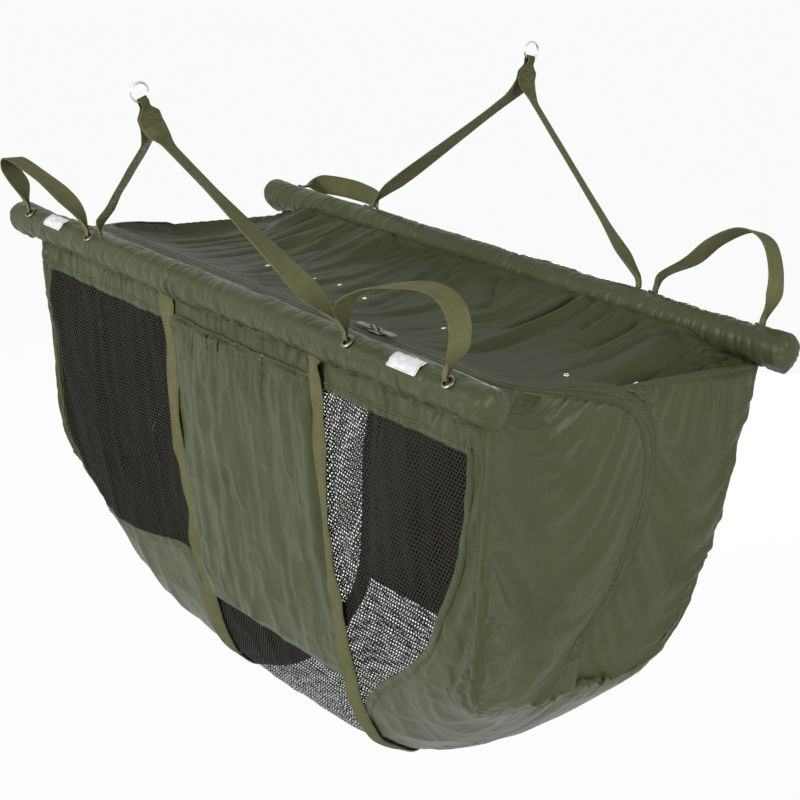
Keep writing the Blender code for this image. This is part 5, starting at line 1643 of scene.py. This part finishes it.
class SLING_OT_hangers(Operator):
    """Sew the two hanging loops with their rings"""
    bl_idname = "sling.hangers"
    bl_label = "Hangers and rings"

    def execute(self, context):
        for side, name in SIDES.items():
            self.hanger(side, name)
        return {"FINISHED"}

    @staticmethod
    def hanger(side, name):
        """Two legs of webbing, sewn together in a stitched box and folded over the ring."""
        pivot = radial(side, HANGER_ANGLE, HANGER_PIVOT)
        up = outwards(side, LEANS[side])
        across = np.cross([1.0, 0.0, 0.0], up)
        foot = HANGER_SHARE * HALF_LENGTH
        top = HANGER_HEIGHTS[side]
        sewn_low = top - SEWN_HEIGHT
        beside = WEBBING_THICKNESS / 2 + GAP
        leg = [(foot, -0.0011), (foot, 0.003), (foot - 0.004, 0.010)]
        for index in range(1, 8):
            part = index / 7
            leg.append((foot - 0.004 + (0.020 - foot) * part, 0.010 + (sewn_low - 0.022) * part))
        leg += [(0.006, sewn_low - 0.002), (beside, sewn_low + 0.006), (beside, top - 0.010),
                (FOLD_RADIUS * 0.8, top - 0.003)]
        turn = np.linspace(0, math.pi, 9)
        fold = np.stack([FOLD_RADIUS * np.cos(turn), top + FOLD_RADIUS * np.sin(turn)], axis=1)
        leg = np.array(leg)
        outline = np.concatenate([leg, fold, leg[::-1] * [-1, 1]])
        flat = np.concatenate([outline, np.zeros((len(outline), 1))], axis=1)
        outline = eased(even_walk(flat, 0.0015)[0][:, :2], 2)
        path = pivot + np.outer(outline[:, 0], [1.0, 0.0, 0.0]) + np.outer(outline[:, 1], up)
        height = outline[:, 1]
        width, thick = webbing_size(height)
        narrow = smooth(top - 0.016, top - 0.004, height)
        width = width + (0.0090 - width) * narrow
        leg_share = smooth(0.02, 0.06, height) * smooth(sewn_low + 0.004, sewn_low - 0.016, height)
        foot_turn, top_turn = (np.where(outline[:, 0] > 0, right, left) for left, right in LEG_TURNS[side])
        turned_by = foot_turn + (top_turn - foot_turn) * smooth(0.12 * top, 0.60 * top, height)
        wander = 3.0 * noise(outline[:, 0] / 0.05, height / 0.05, 201 + side)
        twist = np.radians(turned_by + wander) * leg_share
        points = ribbon_points(path, np.tile(across, (len(path), 1)), width, thick, twist)
        grid_piece(f"hanger_webbing_{name}", points, "webbing", f"hanger_{name}", *own(f"hanger_{name}"),
                   closed=True)
        low, high, half = sewn_low + 0.006, top - 0.014, 0.0095
        box = np.array([(-half, low), (half, low), (half, high), (-half, high), (-half, low), (half, high)])
        other = np.array([(-half, high), (half, low)])
        rows = []
        for face in (-1, 1):
            shift = pivot + np.array([face * (beside + WEBBING_THICKNESS / 2 + 0.0001), 0, 0])
            for run in (box, other):
                row = shift + np.outer(run[:, 0], across) + np.outer(run[:, 1], up)
                row = even_walk(row, 0.001)[0]
                rows.append((row, np.tile([float(face), 0.0, 0.0], (len(row), 1))))
        sew(f"hanger_stitches_{name}", rows, f"hanger_{name}", f"hanger_{name}",
            0.0026, 0.0020, 0.0008, 0.0005)
        centre = pivot + up * (top + RING_MEAN_RADIUS)
        steps, round_wire = 64, 16
        angle = np.linspace(0, 2 * math.pi, steps, endpoint=False)
        wire = np.linspace(0, 2 * math.pi, round_wire, endpoint=False)
        away = np.outer(np.cos(angle), up) + np.outer(np.sin(angle), across)
        weld = 1.0 + 0.10 * np.exp(-(((angle - 2.2) / 0.05) ** 2))
        radius = RING_WIRE * weld[:, None]
        ring = (centre + away[:, None] * (RING_MEAN_RADIUS + radius * np.cos(wire))[..., None]
                + np.array([1.0, 0, 0]) * (radius * np.sin(wire))[..., None])
        faces = grid_faces(steps + 1, round_wire, True)[0] % (steps * round_wire)
        flat = ring.reshape(-1, 3)
        if inside_out(flat, faces, np.repeat(centre + away * RING_MEAN_RADIUS, round_wire, axis=0)):
            faces = faces[:, ::-1]
        place_piece(f"hanging_ring_{name}", new_mesh("ring", flat, [faces]), "steel", f"ring_{name}",
                    *own(f"ring_{name}"))


class SLING_OT_handles(Operator):
    """Thread the four carrying handles through their eyelets"""
    bl_idname = "sling.handles"
    bl_label = "Handles and eyelets"

    def execute(self, context):
        for (side, end), path in HANDLE_PATHS.items():
            name = f"{SIDES[side]}_{ENDS[end]}"
            pivot = radial(side, HANDLE_ANGLE, HANDLE_PIVOT)
            up = outwards(side, HANDLE_ANGLE + HANDLE_LEANS[(side, end)])
            across = np.cross([1.0, 0.0, 0.0], up)
            inner, outer = end * HANDLE_INNER_SHARE * HALF_LENGTH, end * HANDLE_OUTER_SHARE * HALF_LENGTH
            knots = [(inner, -0.0011), (inner, 0.006)] + [(share * HALF_LENGTH, h) for share, h in path]
            knots += [(outer, 0.006), (outer, -0.0011)]
            outline = curve_at(np.array(knots), np.linspace(0, 1, 260))
            flat = np.concatenate([outline, np.zeros((260, 1))], axis=1)
            outline = even_walk(flat, 0.0016)[0][:, :2]
            place = pivot + np.outer(outline[:, 0], [1.0, 0, 0]) + np.outer(outline[:, 1], up)
            width, thick = webbing_size(outline[:, 1])
            free = smooth(0.012, 0.045, outline[:, 1])
            twist = 0.16 * free * noise(outline[:, 0] / 0.06, outline[:, 1] / 0.06, 211 + side + 3 * end)
            points = ribbon_points(place, np.tile(across, (len(place), 1)), width, thick, twist)
            grid_piece(f"handle_webbing_{name}", points, "webbing", f"handle_{name}", *own(f"handle_{name}"),
                       closed=True)
            for which, x in (("inner", inner), ("outer", outer)):
                self.eyelet(side, f"{name}_{which}", x)
        return {"FINISHED"}

    @staticmethod
    def eyelet(side, name, x):
        """A pressed eyelet: a rolled lip, and a neck that goes through the sleeve."""
        place = radial(side, HANDLE_ANGLE, SLEEVE + GAP, x)
        points, faces = ring_set(EYELET, [place], [outwards(side, HANDLE_ANGLE)], 48)
        # The eyelet is drawn in the darker steel, as painted shade.
        place_piece(f"pressed_eyelet_{name}", new_mesh("eyelet", points, [faces]), "shaded_steel", BODIES[side],
                    *own(f"eyelet_{name}"))


class SLING_OT_labels(Operator):
    """Sew the two blank reflective labels on the front float"""
    bl_idname = "sling.labels"
    bl_label = "Labels"

    def execute(self, context):
        for end, name in ENDS.items():
            middle_x = end * LABEL_SHARE * HALF_LENGTH
            half_angle = LABEL_MIDDLE - LABEL_ANGLES[0]
            a, b = np.meshgrid(np.linspace(-1, 1, 61), np.linspace(-1, 1, 31))
            corner = 0.92 + 0.08 * np.sqrt(np.clip(1 - np.abs(b) ** 10, 0, 1))
            x = middle_x + a * corner * LABEL_LENGTH / 2
            degrees = LABEL_MIDDLE + b * half_angle
            pulled = smooth(0.80, 0.90, np.abs(a)) * smooth(1.0, 0.92, np.abs(a))
            radius = SLEEVE + 0.0007 - 0.00025 * pulled + 0.0006 * noise(a * 3.1, b * 2.2, 221 + end)
            top = radial(-1, degrees, radius, x)
            under = radial(-1, degrees, SLEEVE + 0.0001, x)
            rim = np.concatenate([under[:1], top, under[-1:]])
            grid_piece(f"blank_label_{name}", rim, "label", "front_half", *own(f"label_{name}"))
            rows = []
            inset_x = LABEL_LENGTH / 2 - 0.0022
            low, high = LABEL_MIDDLE + 0.86 * half_angle, LABEL_MIDDLE - 0.86 * half_angle
            loop = np.array([(-inset_x, low), (inset_x, low), (inset_x, high), (-inset_x, high),
                             (-inset_x, low)])
            for first, last in zip(loop, loop[1:]):
                xs, turn = line(first, last, 40).T
                xs = middle_x + xs
                rows.append((radial(-1, turn, SLEEVE + 0.0009, xs), outwards(-1, turn, xs)))
            sew(f"label_stitches_{name}", rows, "front_half", f"label_{name}", 0.0026, 0.0018, 0.0006, 0.0004)
        return {"FINISHED"}


class SLING_PT_panel(Panel):
    """Lists the sling's settings and the steps that build it"""
    bl_label = "Floating retainer sling"
    bl_idname = "SLING_PT_panel"
    bl_space_type = "VIEW_3D"
    bl_region_type = "UI"
    bl_category = "Sling"

    def draw(self, context):
        layout = self.layout
        for group in (context.scene.sling_sizes, context.scene.sling_colours, context.scene.sling_stage):
            box = layout.box()
            for name in group.__annotations__:
                box.prop(group, name)
        for step in STEPS:
            layout.operator(step.bl_idname)


STEPS = (SLING_OT_stage, SLING_OT_floats, SLING_OT_walls, SLING_OT_ends, SLING_OT_zip, SLING_OT_straps,
         SLING_OT_hangers, SLING_OT_handles, SLING_OT_labels)
CLASSES = (SlingSizes, SlingColours, SlingStage, *STEPS, SLING_PT_panel)


def register():
    for item in CLASSES:
        bpy.utils.register_class(item)
    bpy.types.Scene.sling_sizes = PointerProperty(type=SlingSizes)
    bpy.types.Scene.sling_colours = PointerProperty(type=SlingColours)
    bpy.types.Scene.sling_stage = PointerProperty(type=SlingStage)


def unregister():
    del bpy.types.Scene.sling_sizes
    del bpy.types.Scene.sling_colours
    del bpy.types.Scene.sling_stage
    for item in reversed(CLASSES):
        bpy.utils.unregister_class(item)


def main():
    register()
    for step in STEPS:
        name = step.bl_idname.split(".")[1]
        getattr(bpy.ops.sling, name)()


if __name__ == "__main__":
    main()
